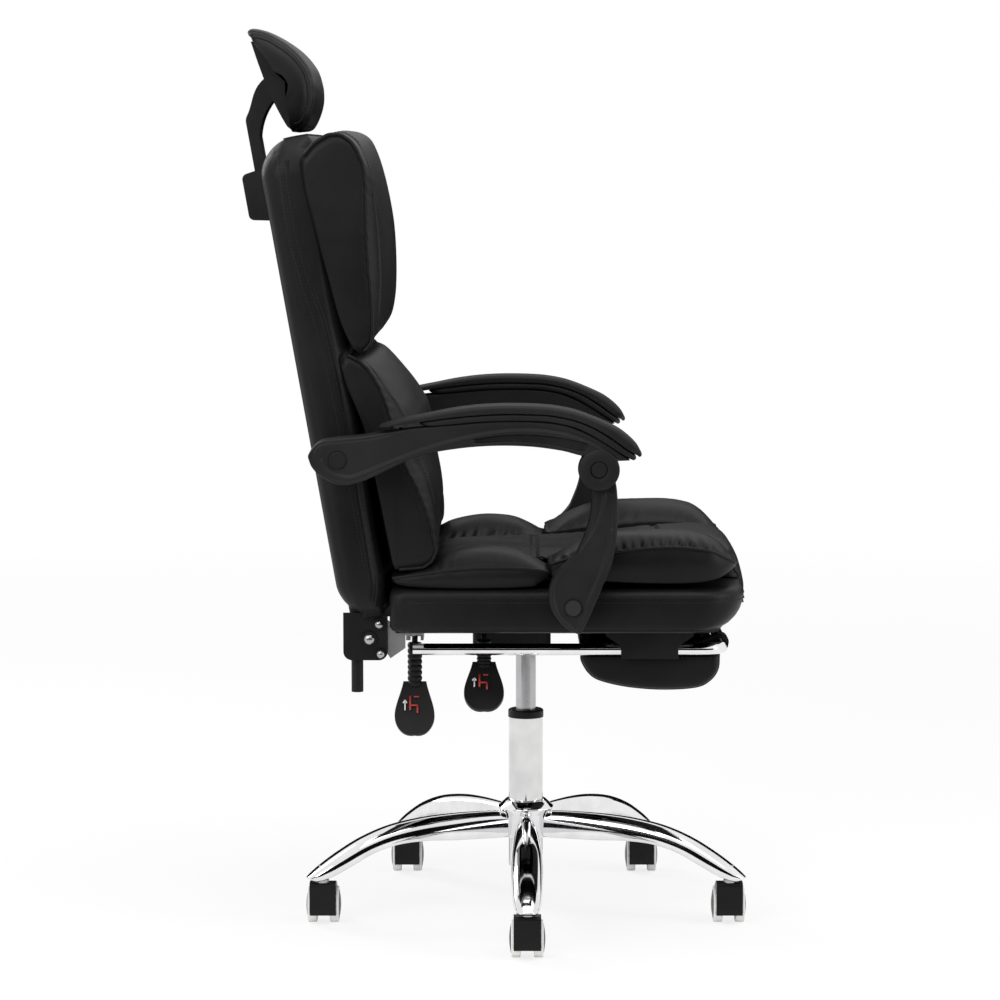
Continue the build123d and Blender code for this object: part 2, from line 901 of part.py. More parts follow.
# ---------------------------------------------------------------- mechanism under the seat
pan_wall = plate_thickness
with BuildPart() as seat_mechanism:
    add(
        block(
            (-mechanism_half_width, mechanism_half_width),
            (mechanism_rear, mechanism_front),
            (mechanism_under, seat_height),
        )
    )
    fillet(seat_mechanism.edges().filter_by(Axis.Z), 8)
    add(
        block(
            (-mechanism_half_width + pan_wall, mechanism_half_width - pan_wall),
            (mechanism_rear + pan_wall, mechanism_front - pan_wall),
            (mechanism_under + pan_wall, seat_height),
        ),
        mode=Mode.SUBTRACT,
    )
    for side in (-1, 1):
        add(
            block(
                (side * mechanism_half_width, side * (mechanism_half_width + mechanism_flange)),
                (mechanism_rear + 8, mechanism_front - 8),
                (seat_height - pan_wall, seat_height),
            )
        )
    with Locations((0, 0, mechanism_under)):
        Cylinder(
            socket_radius,
            cylinder_cone_length - 4,
            align=(Align.CENTER, Align.CENTER, Align.MIN),
        )
    # lug beside the lift lever, for its pivot
    add(
        block(
            (lift_pivot_x - pivot_pin_radius - 3, lift_pivot_x + pivot_pin_radius + 3),
            (lift_lever_forward + 8, lift_lever_forward + 8 + pan_wall),
            (mechanism_under, lift_rod_height + pivot_pin_radius + 3),
        )
    )
    add(
        turned(
            (
                (0, 0),
                (cylinder_radius + shaft_gap, 0),
                (cylinder_radius + shaft_gap, mechanism_under),
                (cylinder_cone_radius + shaft_gap, cylinder_top),
                (0, cylinder_top),
            )
        ),
        mode=Mode.SUBTRACT,
    )
    # way out for the lift lever
    add(
        block(
            (-mechanism_half_width - 1, -mechanism_half_width + pan_wall + 6),
            (lift_lever_forward - lever_rod_radius - 1, lift_lever_forward + lever_rod_radius + 1),
            (lift_rod_height - lever_rod_radius - 2, seat_height - pan_wall),
        ),
        mode=Mode.SUBTRACT,
    )
    with BuildSketch(Plane.XZ.offset(mechanism_rear - 1)):
        with Locations((lift_pivot_x, lift_rod_height)):
            Circle(pivot_pin_radius + shaft_gap)
    extrude(amount=32, mode=Mode.SUBTRACT)
    for x, forward in mechanism_bolts:
        add(
            upright_pin(x, forward, seat_bolt_radius + shaft_gap, (0, 2 * seat_height)),
            mode=Mode.SUBTRACT,
        )
finish(seat_mechanism.part, "seat_mechanism")

# lug shape in side view, and the flat bar under the board that joins the two lugs
with BuildPart() as hinge_lug:
    with BuildSketch(side_plane.offset(-lug_outer)):
        with BuildLine():
            Polyline(
                (pin_forward - 4, pin_height + lug_radius),
                (pin_forward + lug_radius, pin_height + 4),
                (hinge_bar_rear, seat_height - seat_gap),
                (lug_tip_forward, seat_height - seat_gap),
                (lug_tip_forward, bracket_bottom + 16),
                (hinge_bar_rear - 11, bracket_bottom + 2),
                (pin_forward - lug_radius, pin_height - 6),
                close=True,
            )
        make_face()
        with Locations((pin_forward, pin_height)):
            Circle(lug_radius)
            Circle(pin_radius + shaft_gap, mode=Mode.SUBTRACT)
    extrude(amount=hinge_plate)

with BuildPart() as seat_hinge_bar:
    add(
        block(
            (-lug_outer, lug_outer),
            (hinge_bar_rear, hinge_bar_front),
            (seat_height - hinge_bar_height, seat_height),
        )
    )
    add(hinge_lug.part)
    add(mirrored(hinge_lug.part))
    # housing of the recline lock, open towards the lever
    add(
        block(
            (lock_pivot_x - 14, lock_pivot_x + 30),
            (lock_lever_forward - 13, lock_lever_forward + 11),
            (lock_rod_height - 12, seat_height - hinge_bar_height),
        )
    )
    add(
        block(
            (lock_pivot_x - 15, lock_pivot_x + 24),
            (lock_lever_forward - 7, lock_lever_forward + 7),
            (lock_rod_height - 13, seat_height - hinge_bar_height),
        ),
        mode=Mode.SUBTRACT,
    )
    with BuildSketch(Plane.XZ.offset(lock_lever_forward - 20)):
        with Locations((lock_pivot_x, lock_rod_height)):
            Circle(pivot_pin_radius + shaft_gap)
    extrude(amount=40, mode=Mode.SUBTRACT)
    for x, forward in hinge_bolts:
        add(
            upright_pin(x, forward, seat_bolt_radius + shaft_gap, (0, 2 * seat_height)),
            mode=Mode.SUBTRACT,
        )
finish(seat_hinge_bar.part, "seat_hinge_bar")

# ---------------------------------------------------------------- guides of the footrest rails
with BuildPart() as rail_guide:
    with BuildSketch(side_plane.offset(rail_half_width - guide_half)):
        with BuildLine():
            Polyline(
                (guide_rail_rear, seat_height),
                (guide_rail_rear, seat_height - 6),
                (guide_rail_rear + 3, seat_height - 13),
                (guide_slide_rear, rail_height + 6),
                (guide_slide_rear, rail_height - rail_radius - guide_wall),
                (guide_slide_front, rail_height - rail_radius - guide_wall),
                (guide_slide_front, rail_height + 6),
                (guide_rail_front - 2, seat_height - 13),
                (guide_rail_front, seat_height - 6),
                (guide_rail_front, seat_height),
                close=True,
            )
        make_face()
    extrude(amount=2 * guide_half)
    with BuildSketch(Plane.XZ):
        with Locations((-rail_half_width, rail_height)):
            Circle(rail_radius + seat_gap)
    extrude(amount=2 * guide_rail_front, mode=Mode.SUBTRACT)
    for x, forward in guide_bolts:
        add(
            upright_pin(x, forward, seat_bolt_radius + shaft_gap, (0, 2 * seat_height)),
            mode=Mode.SUBTRACT,
        )
        add(
            upright_pin(
                x, forward, bolt_head_radius + seat_gap, (0, seat_height - guide_wall - 2)
            ),
            mode=Mode.SUBTRACT,
        )
with BuildPart() as rail_guides:
    add(rail_guide.part)
    add(mirrored(rail_guide.part))
finish(rail_guides.part, "rail_guides")

# ---------------------------------------------------------------- bolts of the seat
with BuildPart() as seat_bolts:
    for places, seat in (
        (mechanism_bolts, seat_height - plate_thickness),
        (guide_bolts, seat_height - guide_wall - 2),
        (hinge_bolts, seat_height - hinge_bar_height),
    ):
        for x, forward in places:
            add(upright_pin(x, forward, seat_bolt_radius, (seat, seat_height + bolt_bite)))
            add(
                upright_pin(
                    x, forward, bolt_head_radius, (seat - bolt_head_height, seat)
                )
            )
    for side in (-1, 1):
        link_outer = link_inner + link_thickness
        for radius, inner, outer in (
            (arm_bolt_radius, board_half_width - rail_block_width, link_outer),
            (arm_bolt_head, seat_width / 2 + soft_gap, link_inner - seat_gap),
            (arm_bolt_head, link_outer + seat_gap, link_outer + bolt_head_height),
            (arm_bolt_radius, link_outer, link_outer + bolt_head_height),
        ):
            add(
                cross_pin(
                    link_foot_forward,
                    link_foot_height,
                    radius,
                    (side * inner, side * outer),
                )
            )
finish(seat_bolts.part, "seat_bolts")


# ---------------------------------------------------------------- levers
def lever_rod(forward, height, pivot_x, inner_corners, grip_length):
    """A bent lever rod with its pivot pin across it."""
    with BuildPart() as rod:
        corners = inner_corners + [
            (lever_x, -forward, height),
            (lever_x, -forward, height - grip_length),
        ]
        add(bent_bar(corners, lever_bend, lever_rod_radius))
        with BuildSketch(Plane.XZ.offset(forward + pivot_pin_reach[0])):
            with Locations((pivot_x, height)):
                Circle(pivot_pin_radius)
        extrude(amount=pivot_pin_reach[1] - pivot_pin_reach[0])
    return rod.part


def lever_grip(forward, rod_height, sleeve_length, tilt):
    """A corrugated sleeve with a flat paddle that leans outward below it."""
    sleeve_top = rod_height - lever_bend
    sleeve_end = sleeve_top - sleeve_length
    rib = sleeve_length / sleeve_ribs
    with BuildPart() as grip:
        with BuildSketch(Plane.XZ.offset(forward)):
            with BuildLine():
                for number in range(sleeve_ribs):
                    low = sleeve_end + number * rib
                    ThreePointArc(
                        (lever_x + sleeve_radius - 1.5, low),
                        (lever_x + sleeve_radius, low + rib / 2),
                        (lever_x + sleeve_radius - 1.5, low + rib),
                    )
                Polyline(
                    (lever_x + sleeve_radius - 1.5, sleeve_top),
                    (lever_x, sleeve_top),
                    (lever_x, sleeve_end),
                    (lever_x + sleeve_radius - 1.5, sleeve_end),
                )
            make_face()
        revolve(axis=Axis((lever_x, -forward, 0), (0, 0, 1)))
        paddle_plane = Plane(
            origin=(lever_x, -forward, sleeve_end + paddle_thickness),
            x_dir=(0, -1, 0),
            z_dir=(-cos(radians(tilt)), 0, sin(radians(tilt))),
        )
        with BuildSketch(paddle_plane.offset(-paddle_thickness / 2)):
            with BuildLine():
                Polyline(
                    (-0.3 * paddle_width, 0),
                    (0.3 * paddle_width, 0),
                )
                edge = Spline(
                    (0.3 * paddle_width, 0),
                    (0.46 * paddle_width, -0.4 * paddle_length),
                    (0.5 * paddle_width, -0.75 * paddle_length),
                    (0.3 * paddle_width, -0.96 * paddle_length),
                    (0, -paddle_length),
                )
                mirror(edge, about=Plane.YZ)
            make_face()
        extrude(amount=paddle_thickness)
        with Locations((lever_x, -forward, sleeve_end)):
            Cylinder(
                lever_rod_radius + shaft_gap,
                2 * sleeve_length,
                align=(Align.CENTER, Align.CENTER, Align.MIN),
                mode=Mode.SUBTRACT,
            )
    return grip.part


finish(
    lever_rod(
        lift_lever_forward,
        lift_rod_height,
        lift_pivot_x,
        [(0, -button_radius - 2, lift_rod_height), (0, -lift_lever_forward, lift_rod_height)],
        lever_bend + lift_sleeve_length - paddle_thickness,
    ),
    "lift_lever_rod",
)
finish(
    lever_grip(lift_lever_forward, lift_rod_height, lift_sleeve_length, lift_paddle_tilt),
    "lift_lever_grip",
)
finish(
    lever_rod(
        lock_lever_forward,
        lock_rod_height,
        lock_pivot_x,
        [(lock_pivot_x + 14, -lock_lever_forward, lock_rod_height)],
        lever_bend + lock_sleeve_length - paddle_thickness,
    ),
    "lock_lever_rod",
)
finish(
    lever_grip(lock_lever_forward, lock_rod_height, lock_sleeve_length, lock_paddle_tilt),
    "lock_lever_grip",
)

# ---------------------------------------------------------------- footrest
with BuildPart() as footrest_rail:
    add(
        bent_bar(
            (
                (-rail_half_width, -rail_rear, rail_height),
                (-rail_half_width, -rail_front, rail_height),
                (rail_half_width, -rail_front, rail_height),
                (rail_half_width, -rail_rear, rail_height),
            ),
            rail_bend,
            rail_radius,
        )
    )
finish(footrest_rail.part, "footrest_rail")

with BuildPart() as rail_end_caps:
    for side in (-1, 1):
        with BuildSketch(Plane.XZ.offset(rail_rear - rail_cap_length)):
            with Locations((side * rail_half_width, rail_height)):
                Circle(rail_radius + rail_cap_rim)
        extrude(amount=rail_cap_length)
finish(rail_end_caps.part, "rail_end_caps")

rest_top = rail_height - rail_radius - seat_gap
board_low = rest_top - rest_board_thickness
with BuildPart() as footrest_board:
    add(
        block(
            (-rest_half_width + rest_round, rest_half_width - rest_round),
            (rest_rear + rest_round / 2, rest_front - rest_round / 2),
            (board_low, rest_top),
        )
    )
    fillet(footrest_board.edges().filter_by(Axis.Z), rest_round / 2)
finish(footrest_board.part, "footrest_board")

with BuildPart() as footrest_cushion:
    with BuildSketch(side_plane):
        with BuildLine():
            FilletPolyline(
                (rest_rear, rest_top - 4),
                (rest_rear, rest_bottom),
                (rest_front, rest_bottom),
                (rest_front, rest_top - 4),
                radius=rest_round,
            )
            Line((rest_front, rest_top - 4), (rest_rear, rest_top - 4))
        make_face()
    extrude(amount=rest_half_width, both=True)
    add(
        block(
            (-rest_half_width + rest_round - soft_gap, rest_half_width - rest_round + soft_gap),
            (rest_rear + rest_round / 2 - soft_gap, rest_front - rest_round / 2 + soft_gap),
            (board_low - soft_gap, rest_top),
        ),
        mode=Mode.SUBTRACT,
    )
finish(footrest_cushion.part, "footrest_cushion")

with BuildPart() as footrest_clips:
    for side in (-1, 1):
        with BuildSketch(side_plane.offset(side * clip_spread - clip_width / 2)):
            with BuildLine():
                Polyline(
                    (rail_front - 40, rest_top),
                    (rest_front - rest_round / 2, rest_top),
                    (rail_front, rail_height - rail_radius - guide_wall),
                    (rail_front + 3, rail_height),
                    (rail_front, rail_height + rail_radius + guide_wall),
                    (rail_front - 40, rest_top + 4),
                    close=True,
                )
            make_face()
            with Locations((rail_front, rail_height)):
                Circle(rail_radius + guide_wall)
                Circle(rail_radius + shaft_gap, mode=Mode.SUBTRACT)
        extrude(amount=clip_width)
finish(footrest_clips.part, "footrest_clips")

# ---------------------------------------------------------------- back
lean = radians(back_lean)


def on_back(x, depth, climb):
    """A point of the leaning back, from its depth and its distance up the lean."""
    return (
        x,
        -back_foot_forward - depth * cos(lean) + climb * sin(lean),
        pin_height + depth * sin(lean) + climb * cos(lean),
    )


tube_knee = on_back(-tube_half_width, tube_depth, 0)
tube_corners = [
    (-tube_half_width, tube_knee[1], tube_foot),
    tube_knee,
    on_back(-tube_half_width, tube_depth, tube_top),
    on_back(tube_half_width, tube_depth, tube_top),
    (tube_half_width, tube_knee[1], tube_knee[2]),
    (tube_half_width, tube_knee[1], tube_foot),
]
tube_bends = [tube_bend, tube_bend, tube_bend, tube_bend]

with BuildPart() as back_frame_tube:
    add(bent_bar(tube_corners, tube_bends, tube_radius))
finish(back_frame_tube.part, "back_frame_tube")

board_depth = tube_depth + tube_radius + seat_gap
arm_bolt_depth = (
    (arm_rear_forward - back_foot_forward) * cos(lean) + (arm_rear_height - pin_height) * sin(lean)
)


def back_board_form(gap):
    """The board in the back and its side rails, grown all round by a gap."""
    half = back_half_width - back_side_padding + gap
    with BuildPart() as form:
        with BuildSketch(back_plane):
            with Locations((board_depth - gap, back_bottom + back_end_padding - gap)):
                Rectangle(
                    back_board_thickness + 2 * gap,
                    tube_top - tube_bend - back_end_padding + 2 * gap,
                    align=(Align.MIN, Align.MIN),
                )
        extrude(amount=half, both=True)
        for side in (-1, 1):
            rail_start = side * half - (back_rail_width + 2 * gap if side > 0 else 0)
            with BuildSketch(back_plane.offset(rail_start)):
                with Locations((arm_bolt_depth, back_bottom + back_end_padding - gap)):
                    Rectangle(
                        back_rail_depth + 2 * gap,
                        tube_top - tube_bend - back_end_padding + 2 * gap,
                        align=(Align.CENTER, Align.MIN),
                    )
            extrude(amount=back_rail_width + 2 * gap)
    return form.part


arm_bolt_tip = back_half_width - back_side_padding - back_rail_width
with BuildPart() as back_board:
    add(back_board_form(0))
    for side in (-1, 1):
        add(
            cross_pin(
                arm_rear_forward,
                arm_rear_height,
                arm_bolt_radius + shaft_gap,
                (side * arm_bolt_tip, side * seat_width),
            ),
            mode=Mode.SUBTRACT,
        )
finish(back_board.part, "back_board")


def back_form(gap):
    """The padded back, grown all round by a gap."""
    with BuildPart() as form:
        with BuildSketch(back_plane):
            with BuildLine():
                Polyline(
                    (-gap, back_bottom - gap),
                    (back_thickness_bottom + gap, back_bottom - gap),
                    (back_thickness_top + gap, back_top + gap),
                    (-gap, back_top + gap),
                    close=True,
                )
            make_face()
        extrude(amount=back_half_width + gap, both=True)
        upright = form.edges().filter_by(lambda edge: abs((edge % 0.5).Z) > 0.8)
        fillet(upright, back_round + gap)
        fillet(form.faces().sort_by(Axis.Z)[-1].edges(), back_round - 4 + gap)
    return form.part


bracket_outer = lug_outer + seat_gap + hinge_plate
bracket_inner = lug_outer + seat_gap
with BuildPart() as back_cushion:
    add(back_form(0))
    add(back_board_form(soft_gap), mode=Mode.SUBTRACT)
    add(bent_bar(tube_corners, tube_bends, tube_radius + soft_gap), mode=Mode.SUBTRACT)
    for side in (-1, 1):
        add(
            block(
                (side * (tube_half_width - tube_radius), side * (bracket_outer + soft_gap)),
                (bracket_rear - soft_gap, bracket_front + soft_gap),
                (pin_height, bracket_top + soft_gap),
            ),
            mode=Mode.SUBTRACT,
        )
        add(
            cross_pin(
                arm_rear_forward,
                arm_rear_height,
                arm_bolt_radius + soft_gap,
                (side * arm_bolt_tip, side * seat_width),
            ),
            mode=Mode.SUBTRACT,
        )
finish(back_cushion.part, "back_cushion")

with BuildPart() as upper_pillow:
    with BuildSketch(back_plane):
        with BuildLine():
            Spline(
                (60, pillow_split + 18),
                (110, pillow_split + 10),
                (136, pillow_split + 40),
                (147, pillow_split + 120),
                (150, pillow_split + 190),
                (145, pillow_split + 255),
                (128, back_top - 8),
                (94, back_top - 12),
                (58, back_top - 36),
            )
            Line((58, back_top - 36), (60, pillow_split + 18))
        make_face()
    extrude(amount=upper_half_width, both=True)
    add(back_form(soft_gap), mode=Mode.SUBTRACT)
finish(upper_pillow.part, "upper_pillow")

with BuildPart() as lumbar_pillow:
    with BuildSketch(back_plane):
        with BuildLine():
            Spline(
                (60, lumbar_bottom + 4),
                (120, lumbar_bottom),
                (150, lumbar_bottom + 52),
                (154, lumbar_bottom + 160),
                (142, pillow_split - 66),
                (112, pillow_split - 14),
                (60, pillow_split - 4),
            )
            Line((60, pillow_split - 4), (60, lumbar_bottom + 4))
        make_face()
    extrude(amount=lumbar_half_width, both=True)
    add(back_form(soft_gap), mode=Mode.SUBTRACT)
finish(lumbar_pillow.part, "lumbar_pillow")

# ---------------------------------------------------------------- recline brackets and bolts
bracket_bolts = [(pin_forward - 13, pin_height - 20), (pin_forward + 2, pin_height - 40)]
with BuildPart() as recline_bracket:
    with BuildSketch(side_plane.offset(-bracket_outer)):
        with BuildLine():
            plate_edge = FilletPolyline(
                (bracket_rear, bracket_top),
                (bracket_rear, bracket_bottom),
                (bracket_front, bracket_bottom),
                (bracket_front, bracket_top),
                radius=bracket_round,
            )
            Line(plate_edge @ 1, plate_edge @ 0)
        make_face()
    extrude(amount=hinge_plate)
    for forward, height in bracket_bolts:
        add(
            cross_pin(
                forward,
                height,
                arm_bolt_radius + shaft_gap,
                (0, 2 * bracket_outer),
            ),
            mode=Mode.SUBTRACT,
        )
    # pin that the seat's lug turns on
    add(cross_pin(pin_forward, pin_height, pin_radius, (hinge_half_width - 2, bracket_outer)))
with BuildPart() as recline_brackets:
    add(recline_bracket.part)
    add(mirrored(recline_bracket.part))
finish(recline_brackets.part, "recline_brackets")

arm_frame_inner = arm_centre - arm_frame_half
arm_frame_outer = arm_centre + arm_frame_half
with BuildPart() as back_bolts:
    for side in (-1, 1):
        for forward, height, radius, inner, outer in (
            (*bracket_bolts[0], arm_bolt_radius, bracket_inner, bracket_outer + 4),
            (*bracket_bolts[0], arm_bolt_head, bracket_outer, bracket_outer + 4),
            (*bracket_bolts[1], arm_bolt_radius, bracket_inner, bracket_outer + 4),
            (*bracket_bolts[1], arm_bolt_head - 3, bracket_outer, bracket_outer + 4),
            (pin_forward, pin_height, arm_bolt_head - 2, bracket_outer, bracket_outer + 3),
            (
                arm_rear_forward,
                arm_rear_height,
                arm_bolt_radius,
                arm_bolt_tip,
                arm_frame_outer + 3,
            ),
            (
                arm_rear_forward,
                arm_rear_height,
                arm_bolt_head,
                arm_frame_outer + seat_gap,
                arm_frame_outer + 3,
            ),
        ):
            add(cross_pin(forward, height, radius, (side * inner, side * outer)))
finish(back_bolts.part, "back_bolts")

# ---------------------------------------------------------------- headrest
with BuildPart() as headrest_guide:
    with BuildSketch(back_plane):
        with BuildLine():
            wall = FilletPolyline(
                (-seat_gap, guide_bottom),
                (-guide_depth, guide_bottom + 8),
                (-guide_depth, guide_top - 6),
                (-seat_gap, guide_top),
                radius=8,
            )
            Line(wall @ 1, wall @ 0)
        make_face()
    extrude(amount=guide_half_width, both=True)
    with BuildSketch(back_plane):
        with Locations((-stem_front_depth + seat_gap, guide_bottom - 10)):
            Rectangle(
                stem_thickness + 2 * seat_gap,
                guide_top - guide_bottom + 20,
                align=(Align.MAX, Align.MIN),
            )
    extrude(amount=stem_half_width + seat_gap, both=True, mode=Mode.SUBTRACT)
finish(headrest_guide.part, "headrest_guide")

stem_front = -stem_front_depth
stem_rear = -stem_front_depth - stem_thickness
with BuildPart() as headrest_stem:
    with BuildSketch(back_plane):
        with BuildLine():
            rear_curve = Spline(
                (stem_rear, head_pivot_climb - 47),
                (stem_rear + 5, head_pivot_climb - 35),
                (stem_rear + 19, head_pivot_climb - 8),
                (head_pivot_depth - 8, head_pivot_climb + yoke_eye_radius - 1),
                tangents=[(0, 1), (1, 0.3)],
            )
            front_curve = Spline(
                (head_pivot_depth + 6, head_pivot_climb - yoke_eye_radius + 1),
                (stem_front + 21, head_pivot_climb - 29),
                (stem_front + 6, head_pivot_climb - 51),
                (stem_front, head_pivot_climb - 68),
            )
            Line(rear_curve @ 1, front_curve @ 0)
            Polyline(
                front_curve @ 1,
                (stem_front, stem_lower_end),
                (stem_rear, stem_lower_end),
                rear_curve @ 0,
            )
        make_face()
        with Locations((head_pivot_depth, head_pivot_climb)):
            Circle(yoke_eye_radius)
    extrude(amount=stem_half_width, both=True)
    with BuildSketch(back_plane):
        with Locations((head_pivot_depth, head_pivot_climb)):
            Circle(head_pin_radius + shaft_gap)
    extrude(amount=stem_half_width, both=True, mode=Mode.SUBTRACT)
    with BuildSketch(back_plane):
        with Locations((head_pivot_depth - yoke_slot_depth, head_pivot_climb)):
            Rectangle(90, 90, align=(Align.MIN, Align.CENTER))
    extrude(amount=yoke_slot_half, both=True, mode=Mode.SUBTRACT)
finish(headrest_stem.part, "headrest_stem")

finish(
    cross_pin(
        head_pivot_forward,
        head_pivot_height,
        head_pin_radius,
        (-stem_half_width, stem_half_width),
    ),
    "headrest_pin",
)

with BuildPart() as headrest_shell:
    with BuildSketch(side_plane):
        with BuildLine():
            shell_back = Spline(
                (head_pivot_forward - 31, head_pivot_height + 52),
                (head_pivot_forward - 21, head_pivot_height + 22),
                (head_pivot_forward - 8, head_pivot_height - 12),
                (head_pivot_forward + 17, head_pivot_height - 61),
            )
            shell_rim = Spline(
                (head_pivot_forward + 23, head_pivot_height - 66),
                (head_pivot_forward + 30, head_pivot_height - 44),
                (head_pivot_forward + 35, head_pivot_height - 12),
                (head_pivot_forward + 28, head_pivot_height + 10),
                (head_pivot_forward + 8, head_pivot_height + 36),
                (head_pivot_forward - 26, head_pivot_height + 53),
            )
            Line(shell_back @ 1, shell_rim @ 0)
            Line(shell_rim @ 1, shell_back @ 0)
        make_face()
    extrude(amount=shell_half_width, both=True)
    # room for the yoke on both sides of the middle lug
    for side in (-1, 1):
        with BuildSketch(side_plane.offset(side * (yoke_slot_half + stem_half_width) / 2)):
            with Locations((head_pivot_forward, head_pivot_height)):
                Circle(yoke_pocket_radius)
        extrude(
            amount=(stem_half_width - yoke_slot_half) / 2 + yoke_pocket_gap,
            both=True,
            mode=Mode.SUBTRACT,
        )
    with BuildSketch(side_plane):
        with Locations((head_pivot_forward, head_pivot_height)):
            Circle(yoke_eye_radius)
    extrude(amount=yoke_slot_half - yoke_pocket_gap, both=True)
    with BuildSketch(side_plane):
        with Locations((head_pivot_forward, head_pivot_height)):
            Circle(head_pin_radius + shaft_gap)
    extrude(amount=stem_half_width, both=True, mode=Mode.SUBTRACT)
finish(headrest_shell.part, "headrest_shell")

with BuildPart() as headrest_cushion:
    with BuildSketch(side_plane):
        with BuildLine():
            cushion_back = Spline(
                (head_pivot_forward + 23.6, head_pivot_height - 66),
                (head_pivot_forward + 30.8, head_pivot_height - 44),
                (head_pivot_forward + 36, head_pivot_height - 12),
                (head_pivot_forward + 29, head_pivot_height + 10.6),
                (head_pivot_forward + 9, head_pivot_height + 37),
                (head_pivot_forward - 26, head_pivot_height + 54.4),
            )
            cushion_front = Spline(
                cushion_back @ 1,
                (head_pivot_forward - 28, head_pivot_height + 71),
                (head_pivot_forward - 3, head_pivot_height + 64),
                (head_pivot_forward + 28, head_pivot_height + 44),
                (head_pivot_forward + 56, head_pivot_height - 1),
                (head_pivot_forward + 57, head_pivot_height - 28),
                (head_pivot_forward + 47, head_pivot_height - 58),
                (head_pivot_forward + 39, head_pivot_height - 68),
                cushion_back @ 0,
            )
        make_face()
    extrude(amount=head_half_width, both=True)
finish(headrest_cushion.part, "headrest_cushion")

# ---------------------------------------------------------------- armrests
def on_arm(forward, rise):
    """A point this high above the straight line between the armrest's two pivots."""
    slope = (arm_front_height - arm_rear_height) / (arm_front_forward - arm_rear_forward)
    return (forward, arm_rear_height + slope * (forward - arm_rear_forward) + rise)


def on_link(share, forward):
    """A point this share of the way up the link, in front of the line between its pivots."""
    return (
        link_foot_forward + share * (arm_front_forward - link_foot_forward) + forward,
        link_foot_height + share * (arm_front_height - link_foot_height),
    )


frame_crest = (
    # forward, height along the top of the frame
    (arm_front_forward + 25.5, arm_front_height + 12),
    (arm_front_forward + 14, arm_front_height + 30),
    on_arm(arm_front_forward - 32, 49.9),
    on_arm(arm_front_forward - 92, 57.8),
    on_arm(arm_front_forward - 152, 52.6),
    on_arm(arm_front_forward - 212, 44.5),
    on_arm(arm_rear_forward + 52, 36.8),
)


def frame_outline_crest(raise_by):
    """The crest points, raised by a gap."""
    return [(forward, height + raise_by) for forward, height in frame_crest]


with BuildPart() as armrest_frame:
    with BuildSketch(side_plane.offset(arm_frame_inner)):
        with BuildLine():
            crest = Spline(*frame_outline_crest(0))
            tail = Spline(
                crest @ 1,
                (arm_rear_forward - 6, arm_rear_height + 27),
                (arm_rear_forward - 36, arm_rear_height + 18),
                (arm_rear_forward - 38, arm_rear_height + 4),
                (arm_rear_forward - 22, arm_rear_height - 20),
                (arm_rear_forward + 10, arm_rear_height - 31),
                on_arm(arm_rear_forward + 60, -11.9),
                on_arm(arm_rear_forward + 104, 8.7),
                on_arm(arm_rear_forward + 170, 25),
                on_arm(arm_rear_forward + 216, 28.6),
                on_arm(arm_front_forward - 56, 24),
                (arm_front_forward - 22.5, arm_front_height + 15),
            )
            nose = ThreePointArc(
                tail @ 1,
                (arm_front_forward, arm_front_height - arm_disc_radius),
                (arm_front_forward + 26, arm_front_height + 7),
            )
            Line(nose @ 1, crest @ 0)
        make_face()
    extrude(amount=2 * arm_frame_half)
    # room for the link beside the front disc
    add(
        block(
            (-link_inner, -link_inner - link_thickness - seat_gap - 0.3),
            (
                arm_front_forward - link_eye_radius - linkage_play - 4,
                arm_front_forward + 2 * arm_disc_radius,
            ),
            (arm_front_height - 2 * arm_disc_radius, arm_front_height + arm_disc_radius - 7),
        ),
        mode=Mode.SUBTRACT,
    )
    # boss that stands against the back
    with BuildSketch(side_plane.offset(back_half_width + arm_boss_gap)):
        with Locations((arm_rear_forward, arm_rear_height)):
            Circle(arm_boss_radius)
    extrude(amount=arm_frame_inner - back_half_width - arm_boss_gap)
    with BuildSketch(side_plane):
        with Locations((arm_rear_forward, arm_rear_height)):
            Circle(arm_bolt_radius + shaft_gap)
        with Locations((arm_front_forward, arm_front_height)):
            Circle(arm_bolt_radius + shaft_gap)
    extrude(amount=2 * arm_frame_outer, mode=Mode.SUBTRACT)
finish(armrest_frame.part, "armrest_frame_r")
finish(mirrored(armrest_frame.part), "armrest_frame_l")

with BuildPart() as armrest_pad:
    with BuildSketch(side_plane.offset(arm_centre - arm_pad_half)):
        with BuildLine():
            under = Spline(*frame_outline_crest(seat_gap))
            top = Spline(
                under @ 1,
                on_arm(arm_rear_forward + 56, 45),
                on_arm(arm_rear_forward + 126, 65.4),
                on_arm(arm_rear_forward + 216, 78.6),
                on_arm(arm_front_forward - 44, 76.4),
                on_arm(arm_front_forward - 11, 65.6),
                (arm_front_forward + 23, arm_front_height + 49),
                (arm_front_forward + 46, arm_front_height + 32),
                (arm_front_forward + 55, arm_front_height + 20),
                (arm_front_forward + 50, arm_front_height + 11),
            )
            Line(top @ 1, under @ 0)
        make_face()
    extrude(amount=2 * arm_pad_half)
finish(armrest_pad.part, "armrest_pad_r")
finish(mirrored(armrest_pad.part), "armrest_pad_l")

